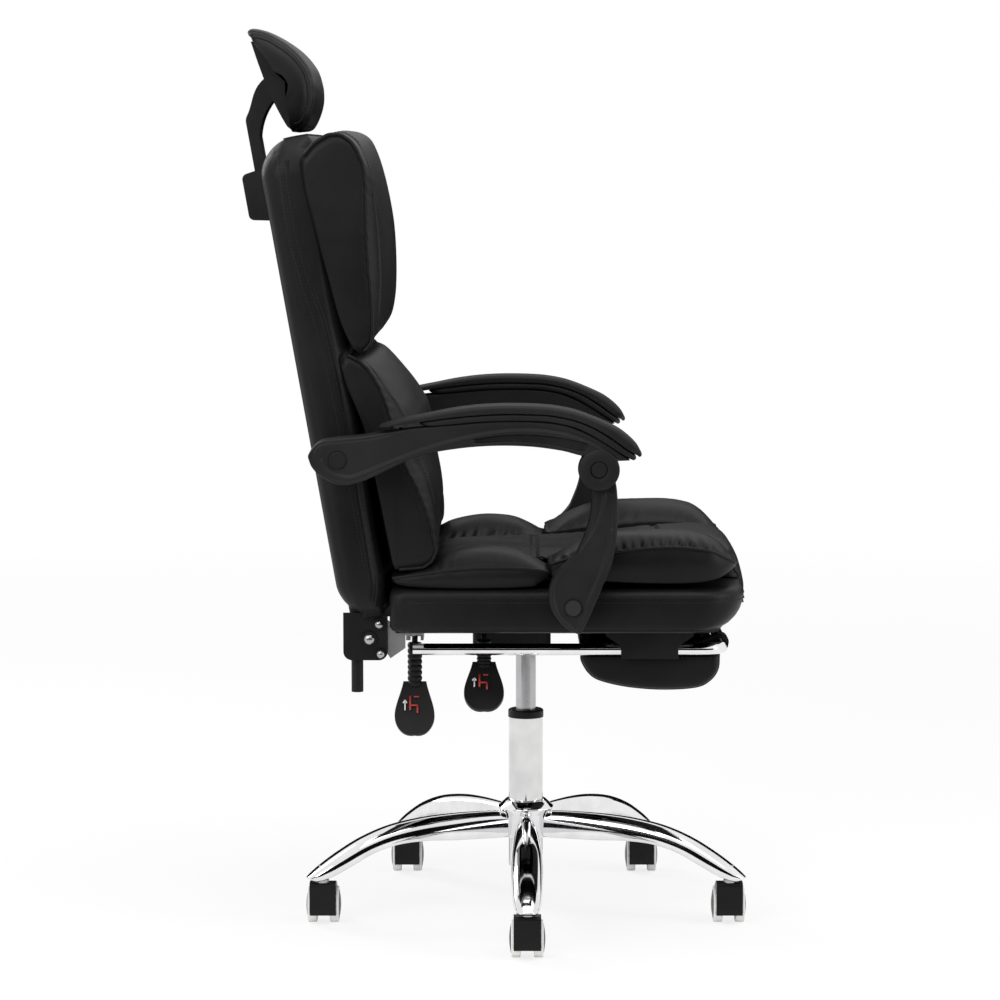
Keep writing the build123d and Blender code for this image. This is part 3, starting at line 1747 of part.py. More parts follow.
with BuildPart() as arm_link:
    with BuildSketch(side_plane.offset(link_inner)):
        with BuildLine():
            eye = ThreePointArc(
                (arm_front_forward - link_eye_radius, arm_front_height),
                (arm_front_forward, arm_front_height + link_eye_radius),
                (arm_front_forward + link_eye_radius, arm_front_height),
            )
            front_edge = Spline(
                eye @ 1,
                (arm_front_forward + 24.5, arm_front_height - 28),
                on_link(0.4973, 39.8),
                on_link(0.2865, 41.7),
                (link_foot_forward + 41, link_foot_height + 22),
                (link_foot_forward + 14, link_foot_height - 30),
                (link_foot_forward - 7, link_foot_height - 30),
                (link_foot_forward - 29, link_foot_height - 4),
                (link_foot_forward - 33, link_foot_height + 19),
                on_link(0.2649, -27.6),
                on_link(0.4757, -5.5),
                on_link(0.7081, 1),
                eye @ 0,
            )
        make_face()
    extrude(amount=link_thickness)
    with BuildSketch(side_plane):
        with Locations((link_foot_forward, link_foot_height)):
            Circle(arm_bolt_radius + shaft_gap)
        with Locations((arm_front_forward, arm_front_height)):
            Circle(arm_bolt_radius + linkage_play)
    extrude(amount=2 * arm_frame_outer, mode=Mode.SUBTRACT)
finish(arm_link.part, "arm_link_r")
finish(mirrored(arm_link.part), "arm_link_l")

with BuildPart() as arm_pins:
    for radius, inner, outer in (
        (arm_bolt_radius, link_inner - 4, arm_frame_outer + 3),
        (arm_bolt_head, link_inner - 4, link_inner - seat_gap),
        (arm_bolt_head, arm_frame_outer, arm_frame_outer + 3),
    ):
        add(cross_pin(arm_front_forward, arm_front_height, radius, (-inner, -outer)))
finish(arm_pins.part, "arm_pins_r")
finish(mirrored(arm_pins.part), "arm_pins_l")
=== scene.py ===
import json
from math import cos, pi, radians, sin

import bmesh
import bpy
import numpy as np
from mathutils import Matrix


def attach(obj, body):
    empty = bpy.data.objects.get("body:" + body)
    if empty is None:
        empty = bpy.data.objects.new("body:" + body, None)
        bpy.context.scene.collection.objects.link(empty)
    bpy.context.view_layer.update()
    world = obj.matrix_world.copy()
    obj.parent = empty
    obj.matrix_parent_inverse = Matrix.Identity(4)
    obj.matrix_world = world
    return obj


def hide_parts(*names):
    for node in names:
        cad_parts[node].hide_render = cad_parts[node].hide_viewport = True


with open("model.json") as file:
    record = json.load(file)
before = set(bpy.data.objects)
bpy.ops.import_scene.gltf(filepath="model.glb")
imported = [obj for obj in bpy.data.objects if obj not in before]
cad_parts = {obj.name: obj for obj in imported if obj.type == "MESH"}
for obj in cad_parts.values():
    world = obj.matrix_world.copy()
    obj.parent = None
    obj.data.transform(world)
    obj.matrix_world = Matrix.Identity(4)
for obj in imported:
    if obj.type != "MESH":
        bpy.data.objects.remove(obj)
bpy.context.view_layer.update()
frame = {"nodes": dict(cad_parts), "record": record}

print("frame loaded")

# Reclining swivel chair. It faces -Y, so "forward" in the lists below is -Y.
# Side outlines are (forward, height) in metres, outlines of the back are
# (depth in front of its rear face, distance up its lean from the hinge).

lean = {"cos": cos(radians(10)), "sin": sin(radians(10)), "footForward": -0.2445, "footHeight": 0.438}


# shape tools
def unit(v):
    return v / np.maximum(np.linalg.norm(v, axis=-1, keepdims=True), 1e-9)


def evenly(path, count):
    # the same line with points at equal lengths
    steps = np.linalg.norm(np.diff(path, axis=0), axis=1)
    along = np.concatenate([[0], np.cumsum(steps)])
    at = np.linspace(0, along[-1], count)
    return np.stack([np.interp(at, along, path[:, k]) for k in range(path.shape[1])], axis=1)


def eased(start, end, count):
    # steps that grow shorter towards both ends
    return start + (end - start) * (1 - np.cos(np.linspace(0, pi, count))) / 2


def cornerDraw(fromEnd, radius):
    # how far a round corner draws in, at a distance from its end
    return radius - np.sqrt(np.clip(radius**2 - np.clip(radius - fromEnd, 0, radius) ** 2, 0, None))


def smoothPath(points, count):
    # Catmull-Rom curve through the points, resampled at equal lengths
    p = np.asarray(points, float)
    p4 = np.vstack([2 * p[0] - p[1], p, 2 * p[-1] - p[-2]])
    t = np.linspace(0, 1, 24, endpoint=False)[:, None, None]
    a, b, c, d = (p4[i:len(p4) - 3 + i][None] for i in range(4))
    dense = 0.5 * (2 * b + (c - a) * t + (2 * a - 5 * b + 4 * c - d) * t**2 + (3 * b - a - 3 * c + d) * t**3)
    dense = np.vstack([dense.transpose(1, 0, 2).reshape(-1, p.shape[1]), p[-1:]])
    return evenly(dense, count)


def levels(points, at):
    # heights read from a smooth line through (position, height) points
    line = smoothPath(points, 400)
    return np.interp(at, line[:, 0], line[:, 1])


def gridFaces(rows, columns, wrap):
    # quads of a grid of points; wrap joins the last column to the first
    r = np.arange(rows - 1)[:, None]
    c = np.arange(columns if wrap else columns - 1)[None, :]
    n = (c + 1) % columns
    low, high = r * columns, (r + 1) * columns
    return np.stack(np.broadcast_arrays(low + c, low + n, high + n, high + c), axis=-1).reshape(-1, 4)


def closedForm(loops, domeStart, domeEnd, rings=10):
    # closed loops one after another; each end shrinks to its middle while it bulges by its dome
    t = np.linspace(0, 1, rings + 1)[1:, None, None]
    caps = []
    for loop, dome in ((loops[0], domeStart), (loops[-1], domeEnd)):
        middle = loop.mean(axis=0)
        caps.append(middle + (loop - middle) * (1 - t) + np.asarray(dome) * (1 - (1 - t) ** 2.5))
    rows = np.concatenate([caps[0][::-1], loops, caps[1]])
    return rows.reshape(-1, 3), gridFaces(len(rows), loops.shape[1], True)


def tube(path, radius, across, sides=8):
    # round tube along a path with rounded ends; across is a direction the path never takes
    forward = unit(np.gradient(path, axis=0))
    first = unit(np.cross(forward, np.asarray(across, float)))
    second = np.cross(forward, first)
    a = np.linspace(0, 2 * pi, sides, endpoint=False)[None, :, None]
    turn = np.cos(a) * first[:, None] + np.sin(a) * second[:, None]
    rings = path[:, None] + radius * turn
    tips = [end[None, None] + 0 * rings[:1] for end in (path[0], path[-1])]
    rings = np.concatenate([tips[0], rings, tips[1]])
    return rings.reshape(-1, 3), gridFaces(len(rings), sides, True)


def stitchRow(path, across, pitch=0.0048, length=0.0034, radius=0.0005):
    # short threads with pointed ends, one after another along a line
    total = np.linalg.norm(np.diff(path, axis=0), axis=1).sum()
    line = evenly(path, max(int(total / pitch), 3))
    forward = unit(np.gradient(line, axis=0))
    first = unit(np.cross(forward, np.asarray(across, float)))
    second = np.cross(forward, first)
    reach = np.array([-0.5, -0.3, 0.3, 0.5])[None, :, None, None] * length
    swell = np.array([0.05, 1, 1, 0.05])[None, :, None, None] * radius
    a = np.linspace(0, 2 * pi, 5, endpoint=False)[None, None, :, None]
    turn = np.cos(a) * first[:, None, None] + np.sin(a) * second[:, None, None]
    threads = line[:, None, None] + forward[:, None, None] * reach + turn * swell
    one = gridFaces(4, 5, True)
    faces = one[None] + (np.arange(len(line)) * 20)[:, None, None]
    return threads.reshape(-1, 3), faces.reshape(-1, 4)


def distanceTo(points, path):
    # shortest distance from each point to a line of short runs
    start, run = path[:-1], np.diff(path, axis=0)
    reach = points[..., None, :] - start
    share = np.clip((reach * run).sum(axis=-1) / np.maximum((run**2).sum(axis=-1), 1e-12), 0, 1)
    return np.linalg.norm(reach - share[..., None] * run, axis=-1).min(axis=-1)


def withinOutline(points, outline):
    # true where a level line from the point crosses the closed outline an odd number of times
    a, b = outline, np.roll(outline, -1, axis=0)
    across, up = points[..., None, 0], points[..., None, 1]
    rise = np.where(b[:, 1] == a[:, 1], 1e-9, b[:, 1] - a[:, 1])
    hit = a[:, 0] + (up - a[:, 1]) / rise * (b[:, 0] - a[:, 0])
    spans = (a[:, 1] > up) != (b[:, 1] > up)
    return (spans & (across < hit)).sum(axis=-1) % 2 == 1


def recess(points, outline, depth, slope):
    # a sunk flat inside an outline, with an even slope round it
    edge = distanceTo(points, np.vstack([outline, outline[:1]]))
    share = np.clip(np.where(withinOutline(points, outline), edge, 0) / slope, 0, 1)
    return -depth * share**2 * (3 - 2 * share)


def ridge(points, path, height, half):
    # a rounded line along a path, raised, or sunk where its height is below zero
    return height * np.exp(-((distanceTo(points, path) / half) ** 2))


def ring(forward, height, radius):
    # closed circle on a side face
    a = np.linspace(0, 2 * pi, 49)
    return np.stack([forward + radius * np.cos(a), height + radius * np.sin(a)], axis=1)


def ruledBar(look, rows, faceColumns, carve=None):
    # sections between a lower and an upper line, each a rectangle with rounded corners: up the
    # outer face, over the top, down the inner face and back under; carve moves the outer face
    line = smoothPath(look["stations"], rows)
    low = line[:, None, :2]
    span = line[:, None, 2:] - low
    width = np.linalg.norm(span, axis=-1)
    first, second = (np.minimum(look[key], width * 0.46) for key in ("lowRound", "highRound"))
    middle = (line[:, :2] + line[:, 2:]) / 2
    along = np.concatenate([[0], np.cumsum(np.linalg.norm(np.diff(middle, axis=0), axis=1))])
    draw = cornerDraw(np.minimum(along, along[-1] - along)[:, None], look["planRound"])
    outer, inner = look["outer"] - draw, look["inner"] + draw
    q = np.linspace(0, pi / 2, 8)[None, 1:-1]
    face = np.linspace(0, 1, faceColumns)[None]
    side = np.linspace(0, 1, 9)[None]
    plain = np.linspace(0, 1, 14)[None]
    parts = [
        (first + (width - first - second) * face, outer + 0 * face, 1 + 0 * face),
        (width - second + second * np.sin(q), outer - second + second * np.cos(q), np.cos(q)),
        (width + 0 * side, outer - second + (inner - outer + 2 * second) * side, 0 * side),
        (width - second + second * np.cos(q), inner + second - second * np.sin(q), 0 * q),
        (width - second + (first + second - width) * plain, inner + 0 * plain, 0 * plain),
        (first - first * np.sin(q), inner + first - first * np.cos(q), 0 * q),
        (0 * width + 0 * side, inner + first + (outer - inner - 2 * first) * side, 0 * side),
        (first - first * np.cos(q), outer - first + first * np.sin(q), np.sin(q)),
    ]
    up, x, share = (np.concatenate([part[k] + 0 * width for part in parts], axis=1) for k in range(3))
    place = low + span / np.maximum(width, 1e-9)[..., None] * up[..., None]
    if carve:
        x = x + carve(place) * share
    return x, place


def barBody(x, place, sign, rearDome, frontDome):
    # the bar on one side of the chair; its ends bulge by (forward, height)
    points = sidePoint(sign * x, place[..., 0], place[..., 1])
    domes = [(0, -dome[0], dome[1]) for dome in (rearDome, frontDome)]
    return closedForm(points, *domes)


def turnedAcross(profile, forward, height, sign, sides=72):
    # (radius, distance from the middle plane) points carried round a level axis
    p = np.asarray(profile)
    a = np.linspace(0, 2 * pi, sides, endpoint=False)[None]
    rows = sidePoint(sign * p[:, 1:] + 0 * a, forward + p[:, :1] * np.cos(a), height + p[:, :1] * np.sin(a))
    return rows.reshape(-1, 3), gridFaces(len(p), sides, True)


def ripple(t, seed, wavesPerMetre, spread=0.45):
    # uneven folds along a seam: a few sines of near wavelengths with fixed random phases
    rng = np.random.default_rng(seed)
    total = 0
    for _ in range(5):
        pace = wavesPerMetre * (1 + spread * rng.uniform(-1, 1))
        total = total + rng.uniform(0.5, 1) * np.sin(2 * pi * pace * t + rng.uniform(0, 2 * pi))
    return total / 2.4


def sidePoint(x, forward, height):
    x, forward, height = np.broadcast_arrays(x, forward, height)
    return np.stack([x, -forward, height], axis=-1)


def backPoint(x, depth, climb):
    # a point of the leaning back
    forward = lean["footForward"] + depth * lean["cos"] - climb * lean["sin"]
    height = lean["footHeight"] + depth * lean["sin"] + climb * lean["cos"]
    return sidePoint(x, forward, height)


def makePiece(name, parts, body, finish, replaces=()):
    # one mesh object from (points, quads) parts, in place, riding on its body
    weld = 1e-5
    points, faces, base = [], [], 0
    for p, f in parts:
        points.append(p)
        faces.append(f + base)
        base += len(p)
    mesh = bpy.data.meshes.new(name)
    mesh.from_pydata(np.concatenate(points).tolist(), [], np.concatenate(faces).tolist())
    bm = bmesh.new()
    bm.from_mesh(mesh)
    bmesh.ops.remove_doubles(bm, verts=bm.verts, dist=weld)
    bmesh.ops.dissolve_degenerate(bm, edges=bm.edges, dist=weld / 2)
    bmesh.ops.recalc_face_normals(bm, faces=bm.faces)
    bm.to_mesh(mesh)
    bm.free()
    mesh.polygons.foreach_set("use_smooth", [True] * len(mesh.polygons))
    mesh.materials.append(finish)
    piece = bpy.data.objects.new(name, mesh)
    bpy.context.scene.collection.objects.link(piece)
    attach(piece, body)
    if replaces:
        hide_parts(*replaces)


# materials
def material(name, colour, roughness, metallic=0.0, specular=0.5):
    made = bpy.data.materials.new(name)
    made.use_nodes = True
    shader = made.node_tree.nodes["Principled BSDF"]
    shader.inputs["Base Color"].default_value = (*colour, 1)
    shader.inputs["Roughness"].default_value = roughness
    shader.inputs["Metallic"].default_value = metallic
    shader.inputs["Specular IOR Level"].default_value = specular
    made.diffuse_color = (*colour, 1)
    return made


def node(made, kind, **values):
    new = made.node_tree.nodes.new(kind)
    for key, value in values.items():
        if hasattr(new, key):
            setattr(new, key, value)
        else:
            new.inputs[key.replace("_", " ")].default_value = value
    return new


def join(made, source, output, target, socket):
    made.node_tree.links.new(source.outputs[output], target.inputs[socket])


def addVariation(made, dark, light, scale, roughLow, roughHigh):
    # slow change of colour and gloss over the surface
    shader = made.node_tree.nodes["Principled BSDF"]
    place = node(made, "ShaderNodeTexCoord")
    noise = node(made, "ShaderNodeTexNoise", Scale=scale, Detail=4.0)
    join(made, place, "Object", noise, "Vector")
    ramp = node(made, "ShaderNodeValToRGB")
    ramp.color_ramp.elements[0].position = 0.35
    ramp.color_ramp.elements[0].color = (*dark, 1)
    ramp.color_ramp.elements[1].position = 0.68
    ramp.color_ramp.elements[1].color = (*light, 1)
    join(made, noise, "Fac", ramp, "Fac")
    join(made, ramp, "Color", shader, "Base Color")
    gloss = node(made, "ShaderNodeMapRange", To_Min=roughLow, To_Max=roughHigh)
    join(made, noise, "Fac", gloss, "Value")
    join(made, gloss, "Result", shader, "Roughness")
    return place


def leatherette(name, dark, light):
    # coated cloth: fine pebbled grain over faint creases
    look = {"grain": 760.0, "grainDepth": 0.00022, "crease": 55.0, "creaseDepth": 0.0007}
    made = material(name, dark, 0.4, specular=0.14)
    place = addVariation(made, dark, light, 9.0, 0.36, 0.50)
    cells = node(made, "ShaderNodeTexVoronoi", feature="DISTANCE_TO_EDGE", Scale=look["grain"])
    folds = node(made, "ShaderNodeTexNoise", Scale=look["crease"], Detail=5.0)
    join(made, place, "Object", cells, "Vector")
    join(made, place, "Object", folds, "Vector")
    fine = node(made, "ShaderNodeBump", Strength=0.45, Distance=look["grainDepth"])
    soft = node(made, "ShaderNodeBump", Strength=0.35, Distance=look["creaseDepth"])
    join(made, cells, "Distance", fine, "Height")
    join(made, folds, "Fac", soft, "Height")
    join(made, soft, "Normal", fine, "Normal")
    join(made, fine, "Normal", made.node_tree.nodes["Principled BSDF"], "Normal")
    return made


def mouldedPlastic(name, dark, light, roughLow, roughHigh, grain, depth):
    made = material(name, dark, roughHigh, specular=0.17)
    place = addVariation(made, dark, light, 14.0, roughLow, roughHigh)
    sand = node(made, "ShaderNodeTexNoise", Scale=grain, Detail=2.0)
    join(made, place, "Object", sand, "Vector")
    bump = node(made, "ShaderNodeBump", Strength=0.5, Distance=depth)
    join(made, sand, "Fac", bump, "Height")
    join(made, bump, "Normal", made.node_tree.nodes["Principled BSDF"], "Normal")
    return made


def plating(name, dark, light, roughLow, roughHigh, stretch=None):
    # chrome, zinc or steel; stretch draws the marks out along one axis
    made = material(name, light, roughHigh, metallic=1.0)
    shader = made.node_tree.nodes["Principled BSDF"]
    place = addVariation(made, dark, light, 22.0, roughLow, roughHigh)
    if stretch:
        spread = node(made, "ShaderNodeMapping")
        spread.inputs["Scale"].default_value = stretch
        marks = node(made, "ShaderNodeTexNoise", Scale=1.0, Detail=3.0)
        join(made, place, "Object", spread, "Vector")
        join(made, spread, "Vector", marks, "Vector")
        bump = node(made, "ShaderNodeBump", Strength=0.12, Distance=0.0002)
        join(made, marks, "Fac", bump, "Height")
        join(made, bump, "Normal", shader, "Normal")
    return made


def plywoodBoard(name):
    # plywood stained black, with its grain along the chair
    made = material(name, (0.012, 0.011, 0.010), 0.75, specular=0.15)
    shader = made.node_tree.nodes["Principled BSDF"]
    place = node(made, "ShaderNodeTexCoord")
    spread = node(made, "ShaderNodeMapping")
    spread.inputs["Scale"].default_value = (90, 4, 400)
    grain = node(made, "ShaderNodeTexNoise", Scale=1.0, Detail=6.0)
    ramp = node(made, "ShaderNodeValToRGB")
    ramp.color_ramp.elements[0].color = (0.0075, 0.0070, 0.0065, 1)
    ramp.color_ramp.elements[1].color = (0.0160, 0.0150, 0.0140, 1)
    join(made, place, "Object", spread, "Vector")
    join(made, spread, "Vector", grain, "Vector")
    join(made, grain, "Fac", ramp, "Fac")
    join(made, ramp, "Color", shader, "Base Color")
    return made


cover = leatherette("blackCover", (0.0052, 0.0052, 0.0056), (0.0090, 0.0090, 0.0096))
pillowCover = leatherette("pillowCover", (0.0050, 0.0050, 0.0054), (0.0086, 0.0086, 0.0092))
plastics = {
    # dark, light, roughness from and to, fineness and depth of the grain
    "sewingThread": ((0.014, 0.014, 0.0145), (0.024, 0.024, 0.0245), 0.55, 0.7, 4000.0, 0.0001),
    "armPlastic": ((0.0085, 0.0085, 0.0087), (0.0125, 0.0125, 0.0128), 0.42, 0.56, 1500.0, 0.0003),
    "armPadSkin": ((0.0075, 0.0075, 0.0078), (0.0110, 0.0110, 0.0114), 0.46, 0.6, 1900.0, 0.00025),
    "headShellPlastic": ((0.0075, 0.0075, 0.0078), (0.0115, 0.0115, 0.0118), 0.4, 0.55, 1600.0, 0.0003),
    "casterPlastic": ((0.0050, 0.0050, 0.0053), (0.0085, 0.0085, 0.0088), 0.28, 0.4, 1500.0, 0.00015),
    "casterTread": ((0.80, 0.79, 0.77), (0.90, 0.89, 0.88), 0.5, 0.65, 1200.0, 0.0002),
    "blackPowderPaint": ((0.0060, 0.0060, 0.0063), (0.0100, 0.0100, 0.0103), 0.35, 0.5, 900.0, 0.0002),
    "leverPlastic": ((0.0065, 0.0065, 0.0068), (0.0105, 0.0105, 0.0108), 0.34, 0.46, 1300.0, 0.0002),
}
thread, armPlastic, padRubber, shellPlastic, hoodPlastic, tyreRubber, blackPaint, leverPlastic = (
    mouldedPlastic(name, *look) for name, look in plastics.items()
)
metals = {
    # dark, light, roughness from and to, how the marks are drawn out
    "chromePlate": ((0.74, 0.74, 0.75), (0.86, 0.86, 0.87), 0.04, 0.10),
    "columnChrome": ((0.62, 0.62, 0.62), (0.74, 0.74, 0.73), 0.05, 0.12, (900, 900, 5)),
    "cylinderSteel": ((0.42, 0.42, 0.43), (0.54, 0.54, 0.55), 0.22, 0.34, (700, 700, 8)),
    "zincPlate": ((0.40, 0.40, 0.40), (0.52, 0.52, 0.52), 0.22, 0.36, (260, 260, 260)),
    "darkSteel": ((0.30, 0.30, 0.31), (0.42, 0.42, 0.43), 0.25, 0.4, (300, 300, 300)),
}
chrome, columnChrome, cylinderSteel, zinc, darkSteel = (plating(name, *look) for name, look in metals.items())
board = plywoodBoard("blackStainedPlywood")


def twoToneBolts(name):
    # zinc plate under the seat, black at the feet of the armrests, by where the bolt is
    look = {"zinc": (0.50, 0.50, 0.50), "black": (0.009, 0.009, 0.0092), "armAside": 0.219}
    made = material(name, look["zinc"], 0.3, metallic=1.0)
    shader = made.node_tree.nodes["Principled BSDF"]
    place = node(made, "ShaderNodeTexCoord")
    axes = node(made, "ShaderNodeSeparateXYZ")
    aside = node(made, "ShaderNodeMath", operation="ABSOLUTE")
    onArm = node(made, "ShaderNodeMath", operation="GREATER_THAN")
    onArm.inputs[1].default_value = look["armAside"]
    join(made, place, "Object", axes, "Vector")
    join(made, axes, "X", aside, 0)
    join(made, aside, 0, onArm, 0)
    ramp = node(made, "ShaderNodeValToRGB")
    ramp.color_ramp.interpolation = "CONSTANT"
    ramp.color_ramp.elements[0].color = (*look["zinc"], 1)
    ramp.color_ramp.elements[1].position = 0.5
    ramp.color_ramp.elements[1].color = (*look["black"], 1)
    metal = node(made, "ShaderNodeMapRange", To_Min=1.0, To_Max=0.0)
    gloss = node(made, "ShaderNodeMapRange", To_Min=0.26, To_Max=0.48)
    for target, socket in ((ramp, "Fac"), (metal, "Value"), (gloss, "Value")):
        join(made, onArm, 0, target, socket)
    join(made, ramp, "Color", shader, "Base Color")
    join(made, metal, "Result", shader, "Metallic")
    join(made, gloss, "Result", shader, "Roughness")
    return made


bolts = twoToneBolts("boltsByPlace")
byNode = {"arm_pins_r": armPlastic, "arm_pins_l": armPlastic, "back_bolts": blackPaint, "seat_bolts": bolts,
          "seat_hinge_bar": zinc}
nodeFinish = {
    "star_steel": chrome, "column_chrome": columnChrome, "cylinder_steel": cylinderSteel,
    "mechanism_paint": blackPaint, "bushing_plastic": leverPlastic, "stem_steel": zinc,
    "rod_steel": darkSteel, "plywood": board, "side_leatherette": cover,
    "pillow_leatherette": pillowCover, "zinc_steel": blackPaint, "lever_steel": blackPaint,
    "lever_plastic": leverPlastic, "rail_steel": chrome, "shell_plastic": shellPlastic,
    "arm_plastic": armPlastic, "arm_pad": padRubber, "hood_plastic": hoodPlastic,
    "tyre_grey": tyreRubber,
}
for part in frame["record"]["subparts"]:
    shown = frame["nodes"].get(part["node"])
    if shown is None:
        continue
    finish = byNode.get(part["node"]) or nodeFinish[part["material_slot"]]
    if not shown.data.materials:
        shown.data.materials.append(finish)
    for place in shown.material_slots:
        place.material = finish
print("materials on the carried-over parts")


# pillows of the back
def frontOfBack(climb):
    # depth of the padded back's front face
    return 0.062 + 0.0279 * (climb - 0.010)


def skinOfBack(x, climb):
    # the same face with its rounded edges
    corner = {"radius": 0.026, "half": 0.246}
    return frontOfBack(climb) - cornerDraw(corner["half"] - np.abs(x), corner["radius"])


pillowFolds = {
    "seamReach": 0.022, "seamWaves": 34, "seamDepth": 0.0009,
    "pipingReach": 0.014, "pipingWaves": 48, "pipingDepth": 0.0006,
    "slowDepth": 0.0009, "creaseDepth": 0.0034, "creaseHalf": 0.0042,
    "stripPuff": 0.0034, "middlePuff": 0.0012, "offTheBack": 0.0008,
    "wingFrom": 0.08, "wingRun": 0.14, "seamShare": 0.6, "stitchBeside": 0.007,
}


def backPillow(look):
    # loops across the chair: the front runs from the bottom edge to the top edge and
    # blends from the piped side outline over a sewn strip to the full middle outline
    fold, count, rearCount = pillowFolds, look["points"], look["rearPoints"]
    side, seam, middle = (smoothPath(look[k], count) for k in ("piped", "sewn", "middle"))
    x = np.linspace(-look["half"], look["half"], look["stations"])[:, None]
    a = np.abs(x)
    inside = np.clip(a / look["seamAt"], 0, 1)[..., None]
    strip = np.clip((a - look["seamAt"]) / (look["half"] - look["seamAt"]), 0, 1)[..., None]
    front = middle + (seam - middle) * inside**look["crown"]
    front = np.where(strip > 0, seam + (side - seam) * strip, front)
    along = np.gradient(front, axis=1)
    outward = unit(np.stack([along[..., 1], -along[..., 0]], axis=-1))
    s = np.linspace(0, 1, count)[None, :, None] * look["length"]
    edges = np.sin(np.linspace(0, pi, count))[None, :, None] ** 0.35
    a3 = a[..., None]
    nearSeam = np.exp(-np.abs(a3 - look["seamAt"]) / fold["seamReach"]) * fold["seamDepth"]
    nearPiping = np.exp(-(look["half"] - a3) / fold["pipingReach"]) * fold["pipingDepth"]
    folds = ripple(s + 0.9 * x[..., None], look["seed"], fold["seamWaves"]) * nearSeam
    folds = folds + ripple(s * 1.1, look["seed"] + 5, fold["pipingWaves"]) * nearPiping
    slow = ripple(s, look["seed"] + 9, 5, 0.6) * ripple(x[..., None] + 0.3, look["seed"] + 12, 3, 0.6)
    slow = slow * fold["slowDepth"] * (1 - inside**6)
    crease = -fold["creaseDepth"] * np.exp(-(((a3 - look["seamAt"]) / fold["creaseHalf"]) ** 2))
    puff = fold["stripPuff"] * np.sin(pi * strip) + fold["middlePuff"] * np.sin(pi * inside)
    front = front + outward * (folds + slow + crease + puff) * edges
    top, bottom = front[:, -1:, 1], front[:, :1, 1]
    climb = top + (bottom - top) * np.linspace(0, 1, rearCount + 2)[None, 1:-1]
    rearLine = smoothPath(look["rear"], 200)
    rearLine = rearLine[np.argsort(rearLine[:, 1])]
    skin = skinOfBack(x, climb) + fold["offTheBack"]
    wing = np.clip((a - fold["wingFrom"]) / fold["wingRun"], 0, 1) ** 2
    rear = skin + np.maximum(np.interp(climb, rearLine[:, 1], rearLine[:, 0]) - skin, 0) * wing
    rear = np.minimum(rear, np.maximum(front[:, -1:, 0], front[:, :1, 0]) + 0.02)
    depth = np.concatenate([front[..., 0], rear], axis=1)
    height = np.concatenate([front[..., 1], climb], axis=1)
    loops = backPoint(x, depth, height)
    body = closedForm(loops, (-look["sidePuff"], 0, 0), (look["sidePuff"], 0, 0))
    seams = {"piping": [], "sewn": []}
    for sign, row in ((-1, 0), (1, -1)):
        edge = evenly(loops[row, 2:count - 2], 160)
        seams["piping"].append(tube(edge, look["pipingRadius"], (1, 0, 0)))
        near = np.argmin(np.abs(x[:, 0] - sign * look["seamAt"]))
        sewn = evenly(loops[near, 4:count - 4], 160)
        seams["sewn"].append(tube(sewn, look["pipingRadius"] * fold["seamShare"], (1, 0, 0)))
        beside = np.argmin(np.abs(x[:, 0] - sign * (look["seamAt"] - fold["stitchBeside"])))
        seams["sewn"].append(stitchRow(evenly(loops[beside, 6:count - 6], 160), (1, 0, 0)))
    return body, seams


upperPillow = {
    "half": 0.248, "seamAt": 0.200, "stations": 125, "points": 150, "rearPoints": 40,
    "crown": 2.6, "length": 0.33, "seed": 11, "sidePuff": 0.004, "pipingRadius": 0.0023,
    "piped": [(0.088, 0.3545), (0.1022, 0.364), (0.1083, 0.381), (0.1143, 0.4205), (0.1183, 0.4665),
              (0.1243, 0.512), (0.133, 0.5665), (0.135, 0.5905), (0.1304, 0.616), (0.1196, 0.635),
              (0.1027, 0.643), (0.08, 0.637), (0.056, 0.619)],
    "sewn": [(0.084, 0.358), (0.1, 0.362), (0.1094, 0.3757), (0.1202, 0.4083), (0.1302, 0.4533),
             (0.137, 0.515), (0.1395, 0.578), (0.133, 0.621), (0.121, 0.639), (0.104, 0.6455),
             (0.08, 0.641)],
    "middle": [(0.082, 0.36), (0.0995, 0.365), (0.1216, 0.382), (0.133, 0.406), (0.1408, 0.438),
               (0.1481, 0.486), (0.1509, 0.525), (0.1494, 0.574), (0.1442, 0.613), (0.1349, 0.635),
               (0.112, 0.6465), (0.081, 0.643)],
    "rear": [(0.0522, 0.62), (0.0522, 0.587), (0.056, 0.5395), (0.0635, 0.461), (0.0687, 0.404),
             (0.0776, 0.368), (0.0893, 0.35)],
}
lumbarPillow = {
    "half": 0.244, "seamAt": 0.197, "stations": 123, "points": 150, "rearPoints": 40,
    "crown": 2.4, "length": 0.36, "seed": 23, "sidePuff": 0.004, "pipingRadius": 0.0023,
    "piped": [(0.082, 0.0645), (0.1, 0.0618), (0.1225, 0.0616), (0.1378, 0.076), (0.139, 0.1),
              (0.1364, 0.131), (0.1285, 0.167), (0.1183, 0.2015), (0.1111, 0.2586), (0.1084, 0.2835),
              (0.1008, 0.315), (0.0863, 0.342), (0.066, 0.358)],
    "sewn": [(0.078, 0.063), (0.112, 0.0612), (0.134, 0.067), (0.1445, 0.0913), (0.1476, 0.1314),
             (0.1448, 0.1674), (0.1355, 0.2015), (0.1269, 0.2559), (0.1172, 0.2819), (0.1026, 0.314),
             (0.09, 0.338), (0.073, 0.352)],
    "middle": [(0.072, 0.063), (0.112, 0.0605), (0.136, 0.073), (0.1437, 0.1), (0.1503, 0.124),
               (0.153, 0.146), (0.154, 0.174), (0.1545, 0.246), (0.1489, 0.271), (0.1337, 0.306),
               (0.113, 0.34), (0.096, 0.351), (0.074, 0.3545)],
    "rear": [(0.0563, 0.374), (0.0591, 0.327), (0.0741, 0.256), (0.077, 0.18), (0.0782, 0.129),
             (0.08, 0.06)],
}
